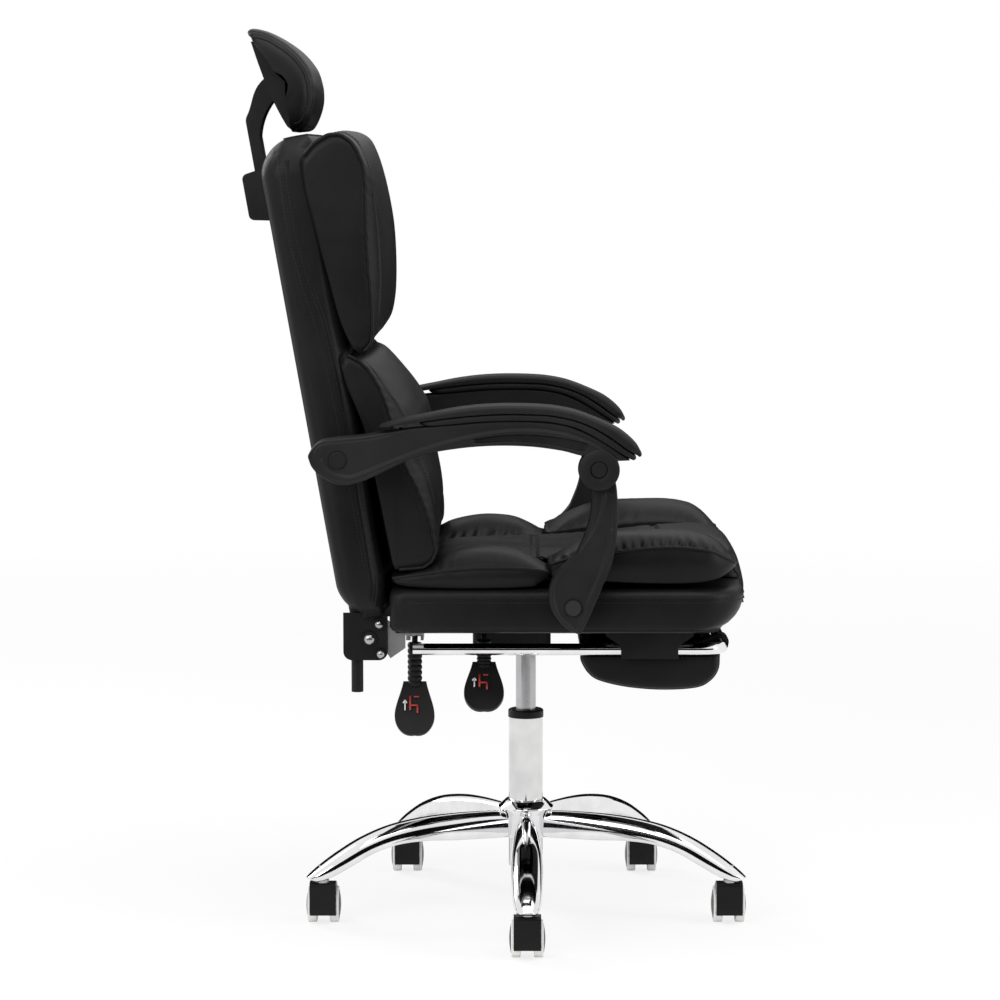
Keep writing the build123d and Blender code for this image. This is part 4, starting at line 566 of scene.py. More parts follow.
for name, look in (("upper_pillow", upperPillow), ("lumbar_pillow", lumbarPillow)):
    body, seams = backPillow(look)
    label = name.split("_")[0]
    makePiece(f"{label}Pillow", [body], "back", pillowCover, replaces=(name,))
    makePiece(f"{label}Piping", seams["piping"], "back", cover)
    makePiece(f"{label}Seams", seams["sewn"], "back", thread)
print("back pillows")

# padded back
backPad = {
    "half": 0.246, "bottom": 0.006, "top": 0.649, "cornerRadius": 0.026, "endRadius": 0.050,
    "rearPuff": 0.004, "sidePuff": 0.002, "stations": 170, "restsFrom": 0.055, "restsTo": 0.100,
    "seamForward": 0.0042, "seamSunk": 0.0006, "seamRadius": 0.0012, "stitchProud": 0.0001,
    "stitchFront": [(0.034, 0.621), (0.031, 0.529), (0.038, 0.45), (0.046, 0.393), (0.052, 0.26),
                    (0.052, 0.182), (0.0525, 0.099), (0.05, 0.048), (0.0414, 0.019)],
    "stitchRear": [(0.026, 0.622), (0.022, 0.529), (0.0285, 0.45), (0.036, 0.393), (0.041, 0.296),
                   (0.0415, 0.182), (0.0415, 0.099), (0.04, 0.05), (0.033, 0.026)],
}


def roundedOutline(halfWidth, low, high, radiusLow, radiusHigh, count):
    # closed outline of a rectangle with two pairs of round corners, from equal steps
    corners = []
    quarter = np.linspace(0, pi / 2, 24)
    for cx, cy, r, start in (
        (halfWidth - radiusHigh, high - radiusHigh, radiusHigh, 0),
        (-halfWidth + radiusHigh, high - radiusHigh, radiusHigh, pi / 2),
        (-halfWidth + radiusLow, low + radiusLow, radiusLow, pi),
        (halfWidth - radiusLow, low + radiusLow, radiusLow, 3 * pi / 2),
    ):
        a = start + quarter
        corners.append(np.stack([cx + r * np.cos(a), cy + r * np.sin(a)], axis=1))
    outline = np.concatenate(corners + [corners[0][:1]])
    return evenly(outline, count + 1)[:-1]


def backSlab(look):
    # loops up the back; each is the section's outline, drawn in near both ends
    loops = []
    for u in eased(look["bottom"], look["top"], look["stations"]):
        depth = float(frontOfBack(u))
        inset = cornerDraw(min(u - look["bottom"], look["top"] - u), look["endRadius"])
        inset = min(inset, depth / 2 - 0.004)
        half = look["half"] - inset * 0.8
        radius = max(min(look["cornerRadius"], depth / 2 - inset - 0.002), 0.002)
        section = roundedOutline(half, inset, depth - inset * 0.3, radius, radius, 260)
        middle = 1 - (section[:, 0] / half) ** 2
        rear = section[:, 1] < depth * 0.3
        section[:, 1] -= np.where(rear, look["rearPuff"] * middle * (1 - inset / depth * 2), 0)
        meets = 0.0618 + 0.1763 * u  # depth of an upright plane just behind the seat
        low = np.clip((look["restsTo"] - u) / (look["restsTo"] - look["restsFrom"]), 0, 1)
        fuller = max(meets - depth, 0) * low + 0.3 * inset * (u < look["restsFrom"])
        section[:, 1] += np.where(section[:, 1] > depth * 0.7, fuller * np.clip(middle * 1.3, 0, 1), 0)
        edge = np.abs(section[:, 0]) > half - 0.002
        puff = look["sidePuff"] * np.sin(pi * np.clip(section[:, 1] / depth, 0, 1))
        section[:, 0] += np.where(edge, np.sign(section[:, 0]) * puff, 0)
        loops.append(backPoint(section[:, 0], section[:, 1], u))
    return closedForm(np.array(loops), (0, 0, 0), (0, -0.0003, 0.003))


def sideLine(look, key, sign, lift):
    # a line of the list on the side of the back
    line = smoothPath(look[key], 240)
    aside = sign * (look["half"] + look["sidePuff"] * 0.8 + lift)
    return backPoint(aside, line[:, 0], line[:, 1])


makePiece("backPad", [backSlab(backPad)], "back", cover, replaces=("back_cushion",))
rows, ridges = [], []
for sign in (-1, 1):
    for key in ("stitchFront", "stitchRear"):
        rows.append(stitchRow(sideLine(backPad, key, sign, backPad["stitchProud"]), (1, 0, 0)))
    seam = sideLine(backPad, "stitchFront", sign, -backPad["seamSunk"])
    seam = seam + backPad["seamForward"] * np.array([0, -lean["cos"], lean["sin"]])
    ridges.append(tube(seam, backPad["seamRadius"], (1, 0, 0)))
makePiece("backStitching", rows, "back", thread)
makePiece("backSeam", ridges, "back", cover)
print("padded back")

# boxed seat
seatBox = {
    "half": 0.252, "rear": -0.1830, "front": 0.2925, "bottom": 0.4300, "top": 0.489,
    "cornerFront": 0.070, "cornerRear": 0.016, "edge": 0.011, "sidePuff": 0.0026,
    "noseFrom": 0.16, "stitchHeight": 0.4785, "stitchGap": 0.0065, "stitchProud": 0.0001,
    "stitchTurns": -0.15, "hemHeight": 0.004, "hemSunk": 0.001, "hemRadius": 0.0018,
    # height and how far the nose is drawn back there
    "nose": [(0.429, 0.036), (0.433, 0.03), (0.44, 0.02), (0.448, 0.012), (0.457, 0.0065), (0.47, 0.002),
             (0.489, 0.0)],
    "stitchLine": [(-0.1825, 0.441), (-0.179, 0.46), (-0.17, 0.47), (-0.15, 0.4745), (-0.06, 0.4775)],
}


def seatSwell(look, z):
    # half a sine wave up the side
    return look["sidePuff"] * np.sin(pi * (z - look["bottom"]) / (look["top"] - look["bottom"]))


def seatOutline(look, z):
    # the plan at one height: round corners, drawn in near the top and bottom, with a sloping nose
    inset = cornerDraw(min(z - look["bottom"], look["top"] - z), look["edge"])
    outline = roundedOutline(look["half"] - inset + seatSwell(look, z), look["rear"] + inset,
                             look["front"] - inset, look["cornerRear"], look["cornerFront"], 360)
    cut = np.interp(z, *zip(*look["nose"]))
    share = np.clip((outline[:, 1] - look["noseFrom"]) / (look["front"] - look["noseFrom"]), 0, 1) ** 2
    return sidePoint(outline[:, 0], outline[:, 1] - cut * share, z)


loops = np.array([seatOutline(seatBox, z) for z in eased(seatBox["bottom"], seatBox["top"], 34)])
makePiece("seatBox", [closedForm(loops, (0, 0, 0), (0, 0, 0), 14)], "seat", cover,
          replaces=("seat_cushion",))


def roundSeat(look, z, offset):
    # the seat's outline at one height, grown by an offset, from the right rear corner
    # round the nose to the left rear corner
    grown = {**look, **{key: look[key] + offset for key in ("half", "front", "cornerFront")}}
    line = seatOutline(grown, z)
    line = line[line[:, 1] < look["noseFrom"]]
    start = np.argmax(np.linalg.norm(np.diff(np.vstack([line, line[:1]]), axis=0), axis=1)) + 1
    return evenly(np.roll(line, -start, axis=0), 500)


rows = []
line = smoothPath(seatBox["stitchLine"], 120)
line = line[line[:, 0] < seatBox["stitchTurns"]]
for drop in (0.0, seatBox["stitchGap"]):
    around = roundSeat(seatBox, seatBox["stitchHeight"] - drop, seatBox["stitchProud"])
    rows.append(stitchRow(around, (0, 0, 1)))
    for sign in (-1, 1):
        x = sign * (seatBox["half"] + seatSwell(seatBox, line[:, 1]) + seatBox["stitchProud"])
        rows.append(stitchRow(sidePoint(x, line[:, 0] + drop, line[:, 1] - drop * 0.4), (1, 0, 0)))
makePiece("seatStitching", rows, "seat", thread)
hem = roundSeat(seatBox, seatBox["bottom"] + seatBox["hemHeight"], -seatBox["hemSunk"])
makePiece("seatHem", [tube(hem, seatBox["hemRadius"], (0, 0, 1))], "seat", cover)
print("boxed seat")

# middle of the seat
seatPad = {
    "half": 0.1275, "stations": 84, "seed": 31, "rear": 0.168, "length": 0.58, "channelDepth": 0.0034,
    "channelHalf": 0.0045, "puckerReach": 0.016, "puckerDepth": 0.0009, "stitchBeside": 0.006,
    "stitchProud": 0.0002, "pipingProud": 0.0006, "pipingRadius": 0.0021, "sideDrop": 0.0105,
    "top": [(-0.168, 0.507), (-0.134, 0.508), (-0.114, 0.518), (-0.06, 0.524), (0.03, 0.526), (0.12, 0.533),
            (0.19, 0.54), (0.24, 0.5425), (0.259, 0.5405), (0.277, 0.532), (0.2885, 0.516), (0.2955, 0.495),
            (0.2995, 0.475), (0.2985, 0.462), (0.2955, 0.4555)],
    "under": [(0.294, 0.46), (0.2938, 0.48), (0.2938, 0.4897), (0.2, 0.4897), (-0.1, 0.4897),
              (-0.168, 0.4897)],
    "channels": (0.030, 0.215),
}


def seatMiddle(look):
    top = smoothPath(look["top"], 230)
    under = evenly(np.array(look["under"]), 70)
    x = np.linspace(-look["half"], look["half"], look["stations"])[:, None]
    a = np.abs(x) / look["half"]
    along = np.gradient(top, axis=0)
    outward = unit(np.stack([-along[:, 1], along[:, 0]], axis=1))[None]
    s = np.linspace(0, look["length"], len(top))[None]
    drop = -look["sideDrop"] * a**5
    channels, puckers = 0, 0
    for k, c in enumerate(look["channels"]):
        off = s - (c + look["rear"])
        channels = channels - look["channelDepth"] * np.exp(-((off / look["channelHalf"]) ** 2))
        near = np.exp(-np.abs(off) / look["puckerReach"]) * look["puckerDepth"]
        puckers = puckers + ripple(x, look["seed"] + k, 42) * near
    sideFolds = ripple(s, look["seed"] + 7, 40) * a**8 * 0.0022
    slow = ripple(s + 1.7 * x, look["seed"] + 3, 5, 0.6) * 0.0007
    at = np.arange(len(top))
    ends = np.clip(np.minimum(at, at[::-1]) / 6, 0, 1)[None]
    move = (drop + channels + puckers + sideFolds + slow) * ends
    moved = top[None] + outward * move[..., None]
    loops = np.concatenate([moved, np.repeat(under[None], len(x), axis=0)], axis=1)
    points = sidePoint(x, loops[..., 0], loops[..., 1])
    body = closedForm(points, (0, 0, 0), (0, 0, 0))
    seams = []
    for c in look["channels"]:
        for shift in (-look["stitchBeside"], look["stitchBeside"]):
            column = np.argmin(np.abs(s[0] - (c + look["rear"] + shift)))
            line = points[4:-4, column] + np.array([0, 0, look["stitchProud"]])
            seams.append(stitchRow(evenly(line, 120), (0, 0, 1)))
    edge = []
    for row in (1, -2):
        line = points[row, 12:len(top) - 2] + np.array([0, 0, look["pipingProud"]])
        edge.append(tube(evenly(line, 220), look["pipingRadius"], (1, 0, 0)))
    return body, seams, edge


body, seams, edge = seatMiddle(seatPad)
makePiece("seatMiddle", [body], "seat", pillowCover, replaces=("seat_pad",))
makePiece("seatMiddleStitching", seams, "seat", thread)
makePiece("seatMiddlePiping", edge, "seat", cover)

# side bolsters of the seat
bolsterFront = {
    "start": 0.0305, "end": 0.278, "seed": 41, "inner": 0.1285, "outer": 0.252,
    "pipedGather": 0.0060, "innerGather": 0.0010, "startTaper": 0.110, "endTaper": 0.045,
    "crown": [(0.03, 0.527), (0.045, 0.541), (0.08, 0.555), (0.122, 0.5615), (0.195, 0.5635),
              (0.235, 0.558), (0.256, 0.549), (0.27, 0.538), (0.28, 0.528)],
    "piping": [(0.02, 0.5175), (0.04, 0.526), (0.075, 0.535), (0.116, 0.54), (0.162, 0.545), (0.201, 0.546),
               (0.24, 0.541), (0.262, 0.531), (0.28, 0.521)],
    "under": [(0.02, 0.513), (0.045, 0.504), (0.1, 0.5), (0.153, 0.4975), (0.211, 0.4975), (0.25, 0.502),
              (0.267, 0.51), (0.28, 0.518)],
}
bolsterRear = {
    "start": -0.178, "end": 0.0295, "seed": 57, "inner": 0.1285, "outer": 0.252,
    "pipedGather": 0.0008, "innerGather": 0.0034, "startTaper": 0.045, "endTaper": 0.060,
    "crown": [(-0.18, 0.505), (-0.15, 0.513), (-0.13, 0.519), (-0.105, 0.532), (-0.06, 0.541),
              (-0.02, 0.5385), (0.005, 0.531), (0.03, 0.519)],
    "piping": [(-0.18, 0.504), (-0.15, 0.509), (-0.1, 0.5155), (-0.05, 0.5185), (0.0, 0.517),
               (0.03, 0.512)],
    "under": [(-0.18, 0.499), (-0.156, 0.493), (-0.079, 0.4905), (0.0, 0.4925), (0.015, 0.497),
              (0.03, 0.506)],
}


bolsterSeam = {
    "cornerEnd": 0.292, "cornerRadius": 0.070, "tipIn": 0.008, "innerTipIn": 0.012, "innerDrop": 0.010,
    "panelLean": 0.004, "panelPuff": 0.0042, "pipingProud": 0.0004, "pipingRadius": 0.0022,
}


def bolster(look, sign):
    # stations forward; each loop runs over the top from the piping to the inner edge,
    # down the inner side, back under, and up the outer panel
    edge = bolsterSeam
    t = eased(0, 1, 150)
    f = (look["start"] + (look["end"] - look["start"]) * t)[:, None]
    crown, piping, under = (levels(look[k], f[:, 0])[:, None] for k in ("crown", "piping", "under"))
    length = look["end"] - look["start"]
    ends = np.minimum(t * length / look["startTaper"], (1 - t) * length / look["endTaper"])[:, None]
    rounding = np.sqrt(np.clip(1 - (1 - np.clip(ends, 0, 1)) ** 2, 0, 1))
    outer = look["outer"] - cornerDraw(edge["cornerEnd"] - f, edge["cornerRadius"])
    outer = outer - edge["tipIn"] * (1 - rounding)
    inner = look["inner"] + edge["innerTipIn"] * (1 - rounding)
    crown = np.maximum(piping + (crown - piping) * rounding, piping + 0.0015)
    innerLow = piping - edge["innerDrop"] * rounding
    tau = eased(0, 1, 90)[None]
    arch = (1 - (2 * tau - 1) ** 2) ** 0.62
    base = piping + (innerLow - piping) * tau
    topX = outer + (inner - outer) * tau
    rise = crown - (piping + innerLow) / 2
    pipedBand = np.exp(-tau / 0.07) * (1 - np.exp(-tau / 0.015)) * look["pipedGather"]
    innerBand = np.exp(-(((tau - 0.93) / 0.07) ** 2)) * look["innerGather"]
    gather = ripple(f, look["seed"], 58, 0.5) * pipedBand
    gather = gather + ripple(f + 0.05 * tau, look["seed"] + 2, 46, 0.5) * innerBand
    slow = ripple(f + 0.3 * tau, look["seed"] + 4, 6, 0.6) * 0.0007 * arch
    topZ = base + rise * arch + (gather + slow) * rounding
    down = np.linspace(0, 1, 14)[None, 1:-1]
    sideX = inner + 0 * down
    sideZ = innerLow + (under - innerLow) * down
    back = np.linspace(0, 1, 16)[None]
    underX = inner + (outer - edge["panelLean"] - inner) * back
    underZ = under - 0.0006 * np.sin(pi * back)
    up = np.linspace(0, 1, 26)[None, 1:-1]
    panelX = outer - edge["panelLean"] * (1 - up) + edge["panelPuff"] * np.sin(pi * up) * rounding
    panelX = panelX + ripple(f, look["seed"] + 6, 26, 0.5) * np.exp(-(1 - up) / 0.2) * 0.0008
    panelZ = under + (piping - under) * up
    x = np.concatenate([topX, sideX, underX, panelX], axis=1)
    z = np.concatenate([topZ, sideZ, underZ, panelZ], axis=1)
    points = sidePoint(sign * x, f, z)
    body = closedForm(points, (0, 0.003, 0), (0, -0.003, 0))
    line = sidePoint(sign * (outer[:, 0] + edge["pipingProud"]), f[:, 0], piping[:, 0])
    return body, tube(evenly(line, 200), edge["pipingRadius"], (0, 0, 1))


forms, pipes = zip(*[bolster(look, sign) for look in (bolsterFront, bolsterRear) for sign in (-1, 1)])
makePiece("seatBolsters", forms, "seat", pillowCover, replaces=("seat_bolsters",))
makePiece("bolsterPiping", pipes, "seat", cover)
print("seat cushions")

# armrests, as (lower forward, lower height, upper forward, upper height) from rear to front
rearPivot, frontPivot, linkFoot = (-0.2475, 0.667), (0.0925, 0.6545), (0.060, 0.470)
armFrame = {
    "outer": 0.3160, "inner": 0.269, "lowRound": 0.0030, "highRound": 0.0030, "planRound": 0.0001,
    "pivotRing": 0.0112,
    "stations": [
        (-0.2857, 0.67, -0.2857, 0.6745), (-0.2812, 0.6585, -0.28, 0.6835),
        (-0.271, 0.6475, -0.269, 0.6915), (-0.252, 0.6371, -0.25, 0.6948), (-0.2336, 0.635, -0.236, 0.6964),
        (-0.208, 0.6425, -0.211, 0.699), (-0.1768, 0.6575, -0.1767, 0.7048),
        (-0.141, 0.6731, -0.1469, 0.7092), (-0.0933, 0.6821, -0.094, 0.714),
        (-0.0456, 0.686, -0.046, 0.7176), (0.0021, 0.6851, 0.0021, 0.7179), (0.042, 0.68, 0.044, 0.7138),
        (0.064, 0.6745, 0.069, 0.7055), (0.083, 0.6702, 0.0885, 0.6963), (0.1, 0.6685, 0.106, 0.6858),
        (0.115, 0.6665, 0.1325, 0.6672),
    ],
    "rim": [
        (-0.2678, 0.6665), (-0.2692, 0.6755), (-0.2655, 0.6832), (-0.2572, 0.6868), (-0.2364, 0.6882),
        (-0.2065, 0.6912), (-0.1767, 0.697), (-0.123, 0.707), (-0.0634, 0.7135), (-0.004, 0.7145),
        (0.0408, 0.71), (0.0587, 0.7055), (0.0796, 0.6962), (0.1125, 0.6758), (0.124, 0.666),
    ],
    "sweep": [
        (-0.2678, 0.6665), (-0.2634, 0.656), (-0.2515, 0.6485), (-0.2366, 0.6446), (-0.2276, 0.6449),
        (-0.2067, 0.6524), (-0.1708, 0.6671), (-0.135, 0.6806), (-0.1022, 0.6904), (-0.0694, 0.6982),
        (-0.0337, 0.7036), (0.0021, 0.7051), (0.0379, 0.7018), (0.0737, 0.6919), (0.0886, 0.6851),
        (0.1035, 0.6755), (0.1155, 0.666),
    ],
    "pocket": [
        (-0.0724, 0.6949), (-0.0705, 0.6905), (-0.0664, 0.6892), (-0.0217, 0.691), (0.026, 0.6877),
        (0.0692, 0.6785), (0.076, 0.6812), (0.079, 0.687), (0.0737, 0.691), (0.0379, 0.6982),
        (0.0021, 0.7015), (-0.0337, 0.7006), (-0.0664, 0.6961),
    ],
    "lobeLine": [
        (-0.158, 0.67), (-0.178, 0.6618), (-0.199, 0.6525), (-0.217, 0.644), (-0.233, 0.6405),
        (-0.25, 0.6425), (-0.265, 0.649), (-0.2765, 0.66), (-0.28, 0.673), (-0.2745, 0.685),
        (-0.263, 0.6898), (-0.2364, 0.6925), (-0.2065, 0.6955), (-0.178, 0.701),
    ],
}


def frameRelief(place):
    # a rim round a sunk panel, a bright ridge over the arch and a deep pocket under it
    look = armFrame
    sweep = smoothPath(look["sweep"], 150)
    panel = np.vstack([smoothPath(look["rim"], 130), sweep[::-1]])
    pocket = smoothPath(look["pocket"] + look["pocket"][:1], 120)
    form = recess(place, panel, 0.0017, 0.0042) + ridge(place, sweep, 0.0010, 0.0016)
    form = form + recess(place, pocket[:-1], 0.0042, 0.0024) + ridge(place, pocket, 0.0007, 0.0011)
    form = form + ridge(place, smoothPath(look["lobeLine"], 120), -0.0008, 0.0011)
    return form + ridge(place, ring(*rearPivot, look["pivotRing"]), -0.0012, 0.0009)


armDisc = [
    (0, 0.2894), (0.0262, 0.2894), (0.027, 0.2905), (0.027, 0.3145), (0.0265, 0.3162), (0.0253, 0.3169),
    (0.0118, 0.3169), (0.011, 0.3165), (0.0106, 0.3155), (0.0106, 0.314), (0, 0.314),
]
rearBoss = [(0, 0.2508), (0.0190, 0.2508), (0.0200, 0.2520), (0.0200, 0.2700), (0, 0.2700)]
armPad = {
    # cushion and the ridge below it
    "cushion": {
        "outer": 0.320, "inner": 0.264, "lowRound": 0.0016, "highRound": 0.0085, "planRound": 0.016,
        "stations": [
            (-0.1925, 0.7086, -0.1932, 0.7108), (-0.188, 0.7094, -0.189, 0.713),
            (-0.16, 0.7145, -0.1616, 0.7201), (-0.1265, 0.7194, -0.1289, 0.7267),
            (-0.099, 0.7231, -0.1021, 0.7321), (-0.0705, 0.7258, -0.0723, 0.7363),
            (-0.0445, 0.7275, -0.0456, 0.7383), (-0.0184, 0.728, -0.0188, 0.7388),
            (0.006, 0.7274, 0.008, 0.7382), (0.028, 0.7263, 0.0318, 0.7364),
            (0.0495, 0.7226, 0.0556, 0.7322), (0.066, 0.7181, 0.0734, 0.7268),
            (0.084, 0.7108, 0.0943, 0.7185), (0.1015, 0.7011, 0.1151, 0.7089),
            (0.1165, 0.6909, 0.1301, 0.6984), (0.1295, 0.6814, 0.142, 0.6866),
            (0.1425, 0.6728, 0.1482, 0.6762),
        ],
    },
    "ridge": {
        "outer": 0.3186, "inner": 0.2654, "lowRound": 0.0030, "highRound": 0.0030, "planRound": 0.014,
        "stations": [
            (-0.138, 0.7128, -0.14, 0.7163), (-0.124, 0.7122, -0.127, 0.7184),
            (-0.0975, 0.7142, -0.0995, 0.7221), (-0.0695, 0.7168, -0.0705, 0.7248),
            (-0.044, 0.7182, -0.0445, 0.7265), (-0.0182, 0.7186, -0.0184, 0.727),
            (0.005, 0.7185, 0.006, 0.7264), (0.0259, 0.7174, 0.028, 0.7253),
            (0.0467, 0.7138, 0.0495, 0.7216), (0.062, 0.7096, 0.066, 0.7171), (0.079, 0.702, 0.084, 0.7098),
            (0.0955, 0.6925, 0.101, 0.7001), (0.1095, 0.6835, 0.116, 0.6899),
            (0.1225, 0.6752, 0.129, 0.6804), (0.1352, 0.6672, 0.141, 0.6714),
        ],
    },
}
armLink = {
    # here the lower edge is the rear one
    "outer": 0.288, "inner": 0.262, "lowRound": 0.0026, "highRound": 0.0026, "planRound": 0.0001,
    "footRing": 0.0112, "plainBelow": 0.028, "reliefRun": 0.012, "proud": 0.0015,
    "stations": [
        (0.0895, 0.6699, 0.0955, 0.6699), (0.08, 0.664, 0.105, 0.664), (0.0771, 0.6545, 0.108, 0.6545),
        (0.08, 0.642, 0.1125, 0.644), (0.0832, 0.63, 0.1158, 0.633), (0.084, 0.618, 0.1175, 0.618),
        (0.0831, 0.5998, 0.1184, 0.5998), (0.0804, 0.585, 0.1183, 0.585), (0.0768, 0.5721, 0.1172, 0.5702),
        (0.0713, 0.5582, 0.1155, 0.5517), (0.0658, 0.5461, 0.1126, 0.536), (0.0576, 0.5359, 0.1095, 0.524),
        (0.0493, 0.5276, 0.1064, 0.5165), (0.0419, 0.5205, 0.1025, 0.5065),
        (0.0345, 0.5115, 0.0991, 0.4998), (0.0291, 0.4979, 0.0945, 0.4875), (0.0276, 0.486, 0.09, 0.4775),
        (0.029, 0.474, 0.0855, 0.4665), (0.0345, 0.4615, 0.0808, 0.4565), (0.0435, 0.45, 0.0768, 0.4485),
        (0.053, 0.4415, 0.0735, 0.442), (0.061, 0.4372, 0.0712, 0.4375),
    ],
    "rearRidge": [
        (0.1005, 0.624), (0.1, 0.6146), (0.0969, 0.598), (0.0906, 0.578), (0.0796, 0.5576),
        (0.0622, 0.5378), (0.0456, 0.523), (0.0361, 0.5081), (0.0324, 0.4914), (0.035, 0.4734),
        (0.0439, 0.4561), (0.056, 0.444), (0.0646, 0.4385),
    ],
    "frontRidge": [
        (0.1108, 0.5721), (0.1081, 0.5572), (0.1012, 0.5304), (0.0921, 0.5053), (0.0807, 0.4784),
        (0.071, 0.4533), (0.0668, 0.4415),
    ],
    "frontRim": [
        (0.1135, 0.62), (0.114, 0.599), (0.1138, 0.585), (0.1125, 0.57), (0.1105, 0.553), (0.1065, 0.5345),
        (0.1005, 0.517), (0.0935, 0.501),
    ],
    "rearRim": [
        (0.088, 0.62), (0.0872, 0.6), (0.0845, 0.584), (0.0805, 0.57), (0.0745, 0.556), (0.065, 0.5435),
    ],
}


def linkRelief(place):
    # two ridges that meet at the foot, a sunk panel between them and a fine line beside each edge
    look = armLink
    rear, front = smoothPath(look["rearRidge"], 150), smoothPath(look["frontRidge"], 110)
    panel = np.vstack([rear, front[::-1], smoothPath(look["frontRim"], 60)[:30][::-1]])
    form = recess(place, panel, 0.0014, 0.0040)
    form = form + ridge(place, rear, 0.0014, 0.0019) + ridge(place, front, 0.0011, 0.0016)
    for key in ("frontRim", "rearRim"):
        form = form + ridge(place, smoothPath(look[key], 80), -0.0007, 0.0010)
    form = form + ridge(place, ring(*linkFoot, look["footRing"]), -0.0010, 0.0009)
    below = np.linalg.norm(place - np.array(frontPivot), axis=-1)
    return (form + look["proud"]) * np.clip((below - look["plainBelow"]) / look["reliefRun"], 0, 1)


frameFace = ruledBar(armFrame, 360, 46, frameRelief)
linkFace = ruledBar(armLink, 190, 46, linkRelief)
padFaces = [ruledBar(armPad["cushion"], 220, 12), ruledBar(armPad["ridge"], 200, 8)]
padTips = [((-0.0012, -0.0004), (0.0022, -0.0040)), ((-0.0020, 0.0), (0.0020, -0.0030))]
screw = [(0, 0.2885), (0.0028, 0.2885), (0.0028, 0.2955), (0, 0.2955)]
for sign, side in ((-1, "r"), (1, "l")):
    body = f"arm_{side}"
    parts = [barBody(*frameFace, sign, (-0.0003, 0), (0.0004, -0.0008)),
             turnedAcross(armDisc, *frontPivot, sign), turnedAcross(rearBoss, *rearPivot, sign)]
    makePiece(f"armFrame_{side}", parts, body, armPlastic, replaces=(f"armrest_frame_{side}",))
    parts = [barBody(*face, sign, *tips) for face, tips in zip(padFaces, padTips)]
    parts.append(turnedAcross(screw, -0.1660, 0.7058, sign, 20))
    makePiece(f"armPad_{side}", parts, body, padRubber, replaces=(f"armrest_pad_{side}",))
    parts = [barBody(*linkFace, sign, (0, 0.0002), (0.0008, -0.0024))]
    makePiece(f"armLink_{side}", parts, f"link_{side}", armPlastic,
              replaces=(f"arm_link_{side}",))
print("armrests")


# zinc dome heads on the bracket's washers, as (forward, height, radius)
bracketHeads = [(-0.211, 0.418, 0.0072), (-0.196, 0.398, 0.0056), (-0.198, 0.438, 0.0058)]
headSeat, headSkirt, headRise = 0.2150, 0.0014, 0.0048


def domeHead(forward, height, radius, sign):
    # a quarter circle turned round the bolt's axis, on a short skirt
    a = np.linspace(0, pi / 2, 12)
    dome = [(radius * sin(q), headSeat + headSkirt + headRise * cos(q)) for q in a]
    return turnedAcross(dome + [(radius, headSeat), (0, headSeat)], forward, height, sign, 40)


parts = [domeHead(*head, sign) for head in bracketHeads for sign in (-1, 1)]
makePiece("bracketBoltHeads", parts, "back", zinc)
print("bracket bolts")

# star base: five pressed arms, rounded on top and open below, welded to a turned hub
starArm = {
    "count": 5, "first": 180, "wall": 0.0022, "rows": 130, "squareness": 0.80, "crestRound": 0.62,
    "hollowEnds": 0.93, "hollowFade": 0.10, "tipOut": 0.0022, "tipDown": 0.0004,
    # distance out, height along the crest and along the open lower edge
    "crest": [(0.026, 0.144), (0.06, 0.1455), (0.11, 0.145), (0.156, 0.1415), (0.2, 0.1335), (0.24, 0.119),
              (0.275, 0.1), (0.302, 0.082), (0.3195, 0.068)],
    "hem": [(0.026, 0.109), (0.06, 0.1092), (0.11, 0.1105), (0.15, 0.1125), (0.19, 0.1105), (0.226, 0.101),
            (0.258, 0.085), (0.284, 0.0715), (0.307, 0.063)],
    "halfWidth": [(0.0, 0.013), (0.15, 0.015), (0.35, 0.019), (0.6, 0.0215), (0.85, 0.0205), (0.96, 0.0165),
                  (1.0, 0.011)],
}
starHub = [
    (0.0258, 0.108), (0.0316, 0.108), (0.0326, 0.109), (0.0326, 0.1385), (0.034, 0.142), (0.0385, 0.147),
    (0.039, 0.1485), (0.0385, 0.1505), (0.029, 0.159), (0.0275, 0.16), (0.0258, 0.159), (0.0258, 0.108),
]


def starArmForm(look, turn):
    # sections up one side, over a round crest and down the other, then back under the metal;
    # the hollow fades out towards the tip
    crest, hem = (smoothPath(look[key], look["rows"]) for key in ("crest", "hem"))
    t = np.linspace(0, 1, look["rows"])
    half = levels(look["halfWidth"], t)[:, None]
    a = np.linspace(-pi / 2, pi / 2, 44)[None]
    b = a[:, ::-1]
    hollow = np.clip((look["hollowEnds"] - t) / look["hollowFade"], 0, 1)[:, None]
    across = np.sign(np.sin(a)) * np.abs(np.sin(a)) ** look["squareness"]
    rise = np.cos(a) ** look["crestRound"] + 0 * half
    innerAcross = (1 - look["wall"] / half) * np.sign(np.sin(b)) * np.abs(np.sin(b)) ** look["squareness"]
    height = np.linalg.norm(crest - hem, axis=1)[:, None]
    innerRise = np.cos(b) ** look["crestRound"] * (1 - look["wall"] / height) * hollow
    side = np.concatenate([half * across, half * innerAcross], axis=1)
    share = np.concatenate([rise, innerRise], axis=1)[..., None]
    spot = hem[:, None] + (crest - hem)[:, None] * share
    c, s = cos(radians(turn)), sin(radians(turn))
    points = np.stack([spot[..., 0] * c - side * s, spot[..., 0] * s + side * c, spot[..., 1]], axis=-1)
    return closedForm(points, (0, 0, 0), (look["tipOut"] * c, look["tipOut"] * s, -look["tipDown"]), 8)


def turnedUpright(profile, sides=96):
    # (radius, height) points carried round the middle axis
    p = np.asarray(profile)
    a = np.linspace(0, 2 * pi, sides, endpoint=False)[None]
    rows = np.stack([p[:, :1] * np.cos(a), p[:, :1] * np.sin(a), p[:, 1:] + 0 * a], axis=-1)
    return rows.reshape(-1, 3), gridFaces(len(p), sides, True)


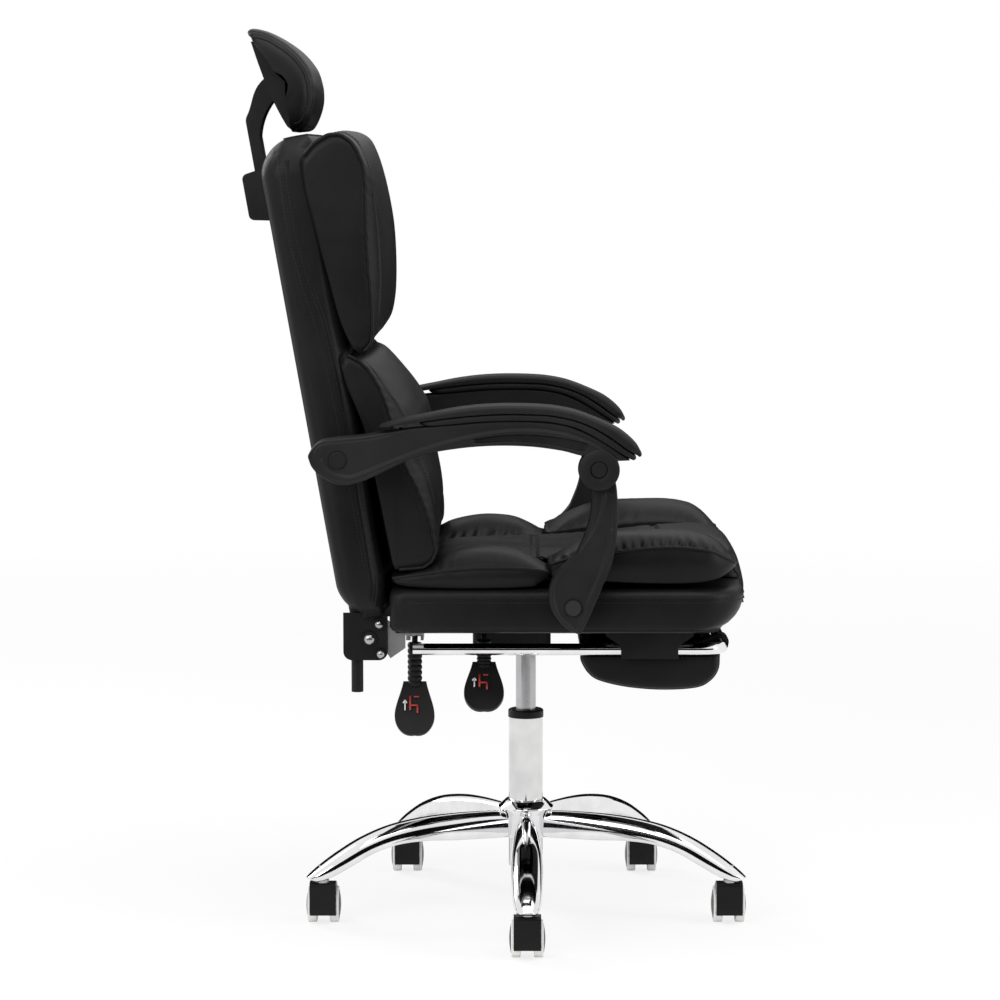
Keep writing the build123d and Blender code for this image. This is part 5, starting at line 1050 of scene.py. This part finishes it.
turns = [starArm["first"] + 360 / starArm["count"] * k for k in range(starArm["count"])]
parts = [starArmForm(starArm, turn) for turn in turns] + [turnedUpright(starHub)]
makePiece("starBase", parts, "base", chrome, replaces=("star_base",))
print("star base")


# headrest
headPad = {
    "half": 0.140, "stations": 96, "seed": 71, "squareness": 12, "seamDepth": 0.0018, "seamHalf": 0.003,
    "foldWaves": 40, "foldReach": 0.012, "foldDepth": 0.0007, "endDrop": 0.006, "seamRadius": 0.0013,
    "foldsAt": 0.118, "middle": (-0.318, 1.155), "rearward": (-0.008, 0.0),
    # these heights are above one metre
    "front": [(-0.37, 0.217), (-0.377, 0.2265), (-0.368, 0.2318), (-0.343, 0.225), (-0.312, 0.205),
              (-0.292, 0.182), (-0.284, 0.16), (-0.282, 0.141), (-0.285, 0.122), (-0.293, 0.103),
              (-0.301, 0.0945), (-0.3165, 0.0925)],
    "rear": [(-0.3163, 0.0955), (-0.309, 0.117), (-0.3035, 0.149), (-0.3105, 0.172), (-0.3305, 0.1985),
             (-0.3655, 0.216)],
    "seams": (0.118, 0.131),
}


def headCushion(look):
    front = smoothPath(look["front"], 150) + np.array([0, 1.0])
    rear = smoothPath(look["rear"], 60) + np.array([0, 1.0])
    x = eased(-look["half"], look["half"], look["stations"])[:, None]
    metres = np.abs(x)
    a = metres / look["half"]
    size = (1 - np.clip(a, 0, 0.9995) ** look["squareness"]) ** 0.25
    along = np.gradient(front, axis=0)
    outward = unit(np.stack([-along[:, 1], along[:, 0]], axis=1))[None]
    s = np.linspace(0, 0.22, len(front))[None]
    ends = np.sin(np.linspace(0, pi, len(front)))[None] ** 0.4
    creases = sum(np.exp(-(((metres - c) / look["seamHalf"]) ** 2)) for c in look["seams"])
    near = np.exp(-np.abs(metres - look["foldsAt"]) / look["foldReach"]) * look["foldDepth"]
    folds = ripple(s, look["seed"], look["foldWaves"]) * near
    move = (folds - look["endDrop"] * a**4 - look["seamDepth"] * creases) * ends
    moved = front[None] + outward * move[..., None]
    loop = np.concatenate([moved, np.repeat(rear[None], len(x), axis=0)], axis=1)
    middle, size = np.array(look["middle"]), size[..., None]
    loop = middle + (loop - middle) * size + np.array(look["rearward"]) * (1 - size)
    points = sidePoint(x, loop[..., 0], loop[..., 1])
    seams = []
    for c in [sign * c for sign in (-1, 1) for c in look["seams"]]:
        row = np.argmin(np.abs(x[:, 0] - c))
        seams.append(tube(evenly(points[row, 4:146], 120), look["seamRadius"], (1, 0, 0)))
    return closedForm(points, (0, 0, 0), (0, 0, 0), 3), seams


body, seams = headCushion(headPad)
makePiece("headPad", [body], "headrest", pillowCover, replaces=("headrest_cushion",))
makePiece("headPadSeams", seams, "headrest", cover)
print("headrest")

# footrest pad, which lies face down under the seat
footPad = {
    "half": 0.160, "endRound": 0.009, "stations": 96, "piping": 0.0017, "stitchHeight": 0.3845,
    "stitchProud": 0.0003, "stitchFrom": 0.0746, "stitchTo": 0.2607, "stitchCorner": 0.008,
    # side outline from the rear over the face, and the flat top that the board lies on
    "face": [(0.0745, 0.3885), (0.075, 0.379), (0.085, 0.3625), (0.101, 0.3525), (0.139, 0.344),
             (0.186, 0.3406), (0.23, 0.3435), (0.249, 0.353), (0.259, 0.368), (0.2607, 0.3885)],
    "top": [(0.26, 0.3892), (0.0752, 0.3892)],
}


def footCushion(look):
    # the side outline carried across the chair; near each end it shrinks along a quarter circle
    face = smoothPath(look["face"], 190)
    outline = np.vstack([face, evenly(np.array(look["top"]), 50)])
    x = eased(-look["half"], look["half"], look["stations"])[:, None]
    draw = cornerDraw(look["half"] - np.abs(x), look["endRound"])
    low, high = outline.min(axis=0), outline.max(axis=0)
    middle, reach = (high + low) / 2, (high - low) / 2
    loops = middle + (outline - middle) * (1 - draw[..., None] / reach)
    points = sidePoint(x, loops[..., 0], loops[..., 1])
    pipes = [tube(evenly(points[row, :190], 160), look["piping"], (1, 0, 0)) for row in (11, -12)]
    return closedForm(points, (-0.0004, 0, 0), (0.0004, 0, 0), 8), pipes


form, pipes = footCushion(footPad)
makePiece("footPad", [form], "footrest", cover, replaces=("footrest_cushion",))
makePiece("footPadPiping", pipes, "footrest", cover)
outline = roundedOutline(footPad["half"] + footPad["stitchProud"], footPad["stitchFrom"], footPad["stitchTo"],
                         footPad["stitchCorner"], footPad["stitchCorner"], 400)
rim = sidePoint(outline[:, 0], outline[:, 1], footPad["stitchHeight"])
rows = [stitchRow(evenly(np.vstack([rim, rim[:1]]), 400), (0, 0, 1))]
makePiece("footPadStitching", rows, "footrest", thread)
print("footrest pad")

# marks on the lever paddles: a plain chair sign with an arrow beside it
redMark = material("redMark", (0.42, 0.03, 0.025), 0.5)
whiteMark = material("whiteMark", (0.72, 0.72, 0.72), 0.5)
paddles = {
    "lift": {"forward": -0.058, "low": 0.378, "tilt": 40, "body": "lift_lever"},
    "lock": {"forward": -0.152, "low": 0.352, "tilt": 25, "body": "lock_lever"},
}
paddleFace = {"aside": -0.144, "half": 0.0030, "root": 0.006}


def onPaddle(look, across, down, lift):
    # a point on the paddle's outer face, from its root
    t = radians(look["tilt"])
    out = paddleFace["half"] + lift
    x = paddleFace["aside"] - down * sin(t) - out * cos(t)
    z = look["low"] + paddleFace["root"] - down * cos(t) + out * sin(t)
    return np.stack(np.broadcast_arrays(x, -look["forward"] - across, z), axis=-1)


def flatMark(look, outline):
    # a thin raised shape on the paddle, from (across, down) points of a convex outline
    line = np.array(outline)
    rings = [onPaddle(look, line[:, 0], line[:, 1], lift) for lift in (-0.0002, 0.0003)]
    return closedForm(np.array(rings), (0, 0, 0), (0, 0, 0), 1)


def bar(a, b, half):
    # a straight stroke from a to b
    a, b = np.array(a), np.array(b)
    d = unit(b - a)
    n = np.array([-d[1], d[0]]) * half
    return [a + n, b + n, b - n, a - n]


signs = {
    # strokes as (from, to, half width), each point (across, down)
    "SeatSign": (redMark, [((-0.006, 0.030), (-0.006, 0.050), 0.0012),
                           ((-0.006, 0.043), (0.004, 0.043), 0.0012),
                           ((0.004, 0.043), (0.004, 0.054), 0.0011),
                           ((-0.001, 0.031), (0.006, 0.031), 0.0010)]),
    "ArrowSign": (whiteMark, [((-0.013, 0.036), (-0.013, 0.050), 0.0008),
                              ((-0.0155, 0.040), (-0.013, 0.0355), 0.0008),
                              ((-0.0105, 0.040), (-0.013, 0.0355), 0.0008)]),
}
for key, look in paddles.items():
    for sign, (paint, strokes) in signs.items():
        marks = [flatMark(look, bar(*stroke)) for stroke in strokes]
        makePiece(f"{key}{sign}", marks, look["body"], paint)
print("lever marks")
# floor, light and camera
studio = {"floorHalf": 14.0, "floorGlow": 0.80, "fadeFrom": 1.0, "fadeTo": 4.5, "worldLight": 0.55}


def seenDirectly(made):
    # 1 where the camera, a reflection or a transmitted ray looks at it
    rays = node(made, "ShaderNodeLightPath")
    found = (rays, "Is Camera Ray")
    for kind in ("Is Glossy Ray", "Is Transmission Ray"):
        either = node(made, "ShaderNodeMath", operation="MAXIMUM")
        join(made, *found, either, 0)
        join(made, rays, kind, either, 1)
        found = (either, 0)
    return found


def blendInto(made, share, first, second, target):
    # the second shader takes over from the first by the share
    blend = node(made, "ShaderNodeMixShader")
    join(made, *share, blend, "Fac")
    join(made, first, 0, blend, 1)
    join(made, second, 0, blend, 2)
    join(made, blend, 0, made.node_tree.nodes[target], "Surface")


def stageMaterial(name, look):
    # pale surface that the camera and reflections see near white, with the shadow kept
    made = material(name, (0.93, 0.93, 0.93), 0.9, specular=0.1)
    light = node(made, "ShaderNodeEmission", Strength=1.0)
    share = node(made, "ShaderNodeMath", operation="MULTIPLY")
    place = node(made, "ShaderNodeTexCoord")
    away = node(made, "ShaderNodeVectorMath", operation="LENGTH")
    fade = node(made, "ShaderNodeMapRange", From_Min=look["fadeFrom"], From_Max=look["fadeTo"],
                To_Min=look["floorGlow"], To_Max=1.0)
    join(made, place, "Object", away, 0)
    join(made, away, "Value", fade, "Value")
    join(made, *seenDirectly(made), share, 0)
    join(made, fade, "Result", share, 1)
    blendInto(made, (share, 0), made.node_tree.nodes["Principled BSDF"], light, "Material Output")
    return made


def flatSheet(name, corners, paint):
    # one staged rectangle
    mesh = bpy.data.meshes.new(name)
    mesh.from_pydata(corners, [], [(0, 1, 2, 3)])
    mesh.materials.append(paint)
    sheet = bpy.data.objects.new(name, mesh)
    bpy.context.scene.collection.objects.link(sheet)
    return sheet


h = studio["floorHalf"]
flatSheet("floor", [(-h, -h, 0), (h, -h, 0), (h, h, 0), (-h, h, 0)], stageMaterial("paleFloor", studio))

# two black cards that only reflections see, so that plating and gloss keep their dark streaks
flags = {"cardBehindCamera": (-2.0, 2.6, 0.02, 1.15), "cardBehindChair": (2.6, 3.0, 0.02, 1.5)}
cardPaint = material("blackCard", (0.004, 0.004, 0.004), 1.0, specular=0.0)
for name, (x, half, low, high) in flags.items():
    card = flatSheet(name, [(x, -half, low), (x, half, low), (x, half, high), (x, -half, high)], cardPaint)
    card.visible_camera = card.visible_diffuse = card.visible_transmission = card.visible_shadow = False

world = bpy.data.worlds.new("studio")
bpy.context.scene.world = world
world.use_nodes = True
soft = world.node_tree.nodes["Background"]
soft.inputs["Color"].default_value = (1, 1, 1, 1)
soft.inputs["Strength"].default_value = studio["worldLight"]
white = node(world, "ShaderNodeBackground", Color=(1, 1, 1, 1), Strength=1.0)
blendInto(world, seenDirectly(world), soft, white, "World Output")

lamps = {
    # place, what it points at, size, watts
    "topSoftbox": ((-0.9, -0.3, 3.0), (0, 0, 0.7), (2.2, 2.2), 40),
    "cameraSoftbox": ((-3.0, 1.9, 1.9), (0, 0, 0.7), (1.5, 1.9), 44),
    "frontStrip": ((-1.2, -2.8, 1.5), (0, 0, 0.7), (0.6, 1.8), 26),
    "rearStrip": ((1.6, 2.2, 1.9), (0, 0, 0.8), (0.7, 1.8), 30),
}
for name, (place, aim, size, watts) in lamps.items():
    data = bpy.data.lights.new(name, "AREA")
    data.shape = "RECTANGLE"
    data.size, data.size_y = size
    data.energy = watts
    lamp = bpy.data.objects.new(name, data)
    bpy.context.scene.collection.objects.link(lamp)
    lamp.location = place
    toward = np.array(aim) - np.array(place)
    flat = np.hypot(toward[0], toward[1])
    lamp.rotation_euler = (np.arctan2(flat, -toward[2]), 0, np.arctan2(toward[1], toward[0]) - pi / 2)

shot = {"back": 4.6186, "aside": 0.0363, "height": 1.0679, "downDegrees": 6.0, "lens": 119.77}
data = bpy.data.cameras.new("camera")
data.lens = shot["lens"]
data.sensor_width = 36
camera = bpy.data.objects.new("camera", data)
bpy.context.scene.collection.objects.link(camera)
camera.location = (-shot["back"], shot["aside"], shot["height"])
camera.rotation_euler = (radians(90 - shot["downDegrees"]), 0, radians(-90))
bpy.context.scene.camera = camera
bpy.context.scene.view_settings.view_transform = "Standard"
print("studio")
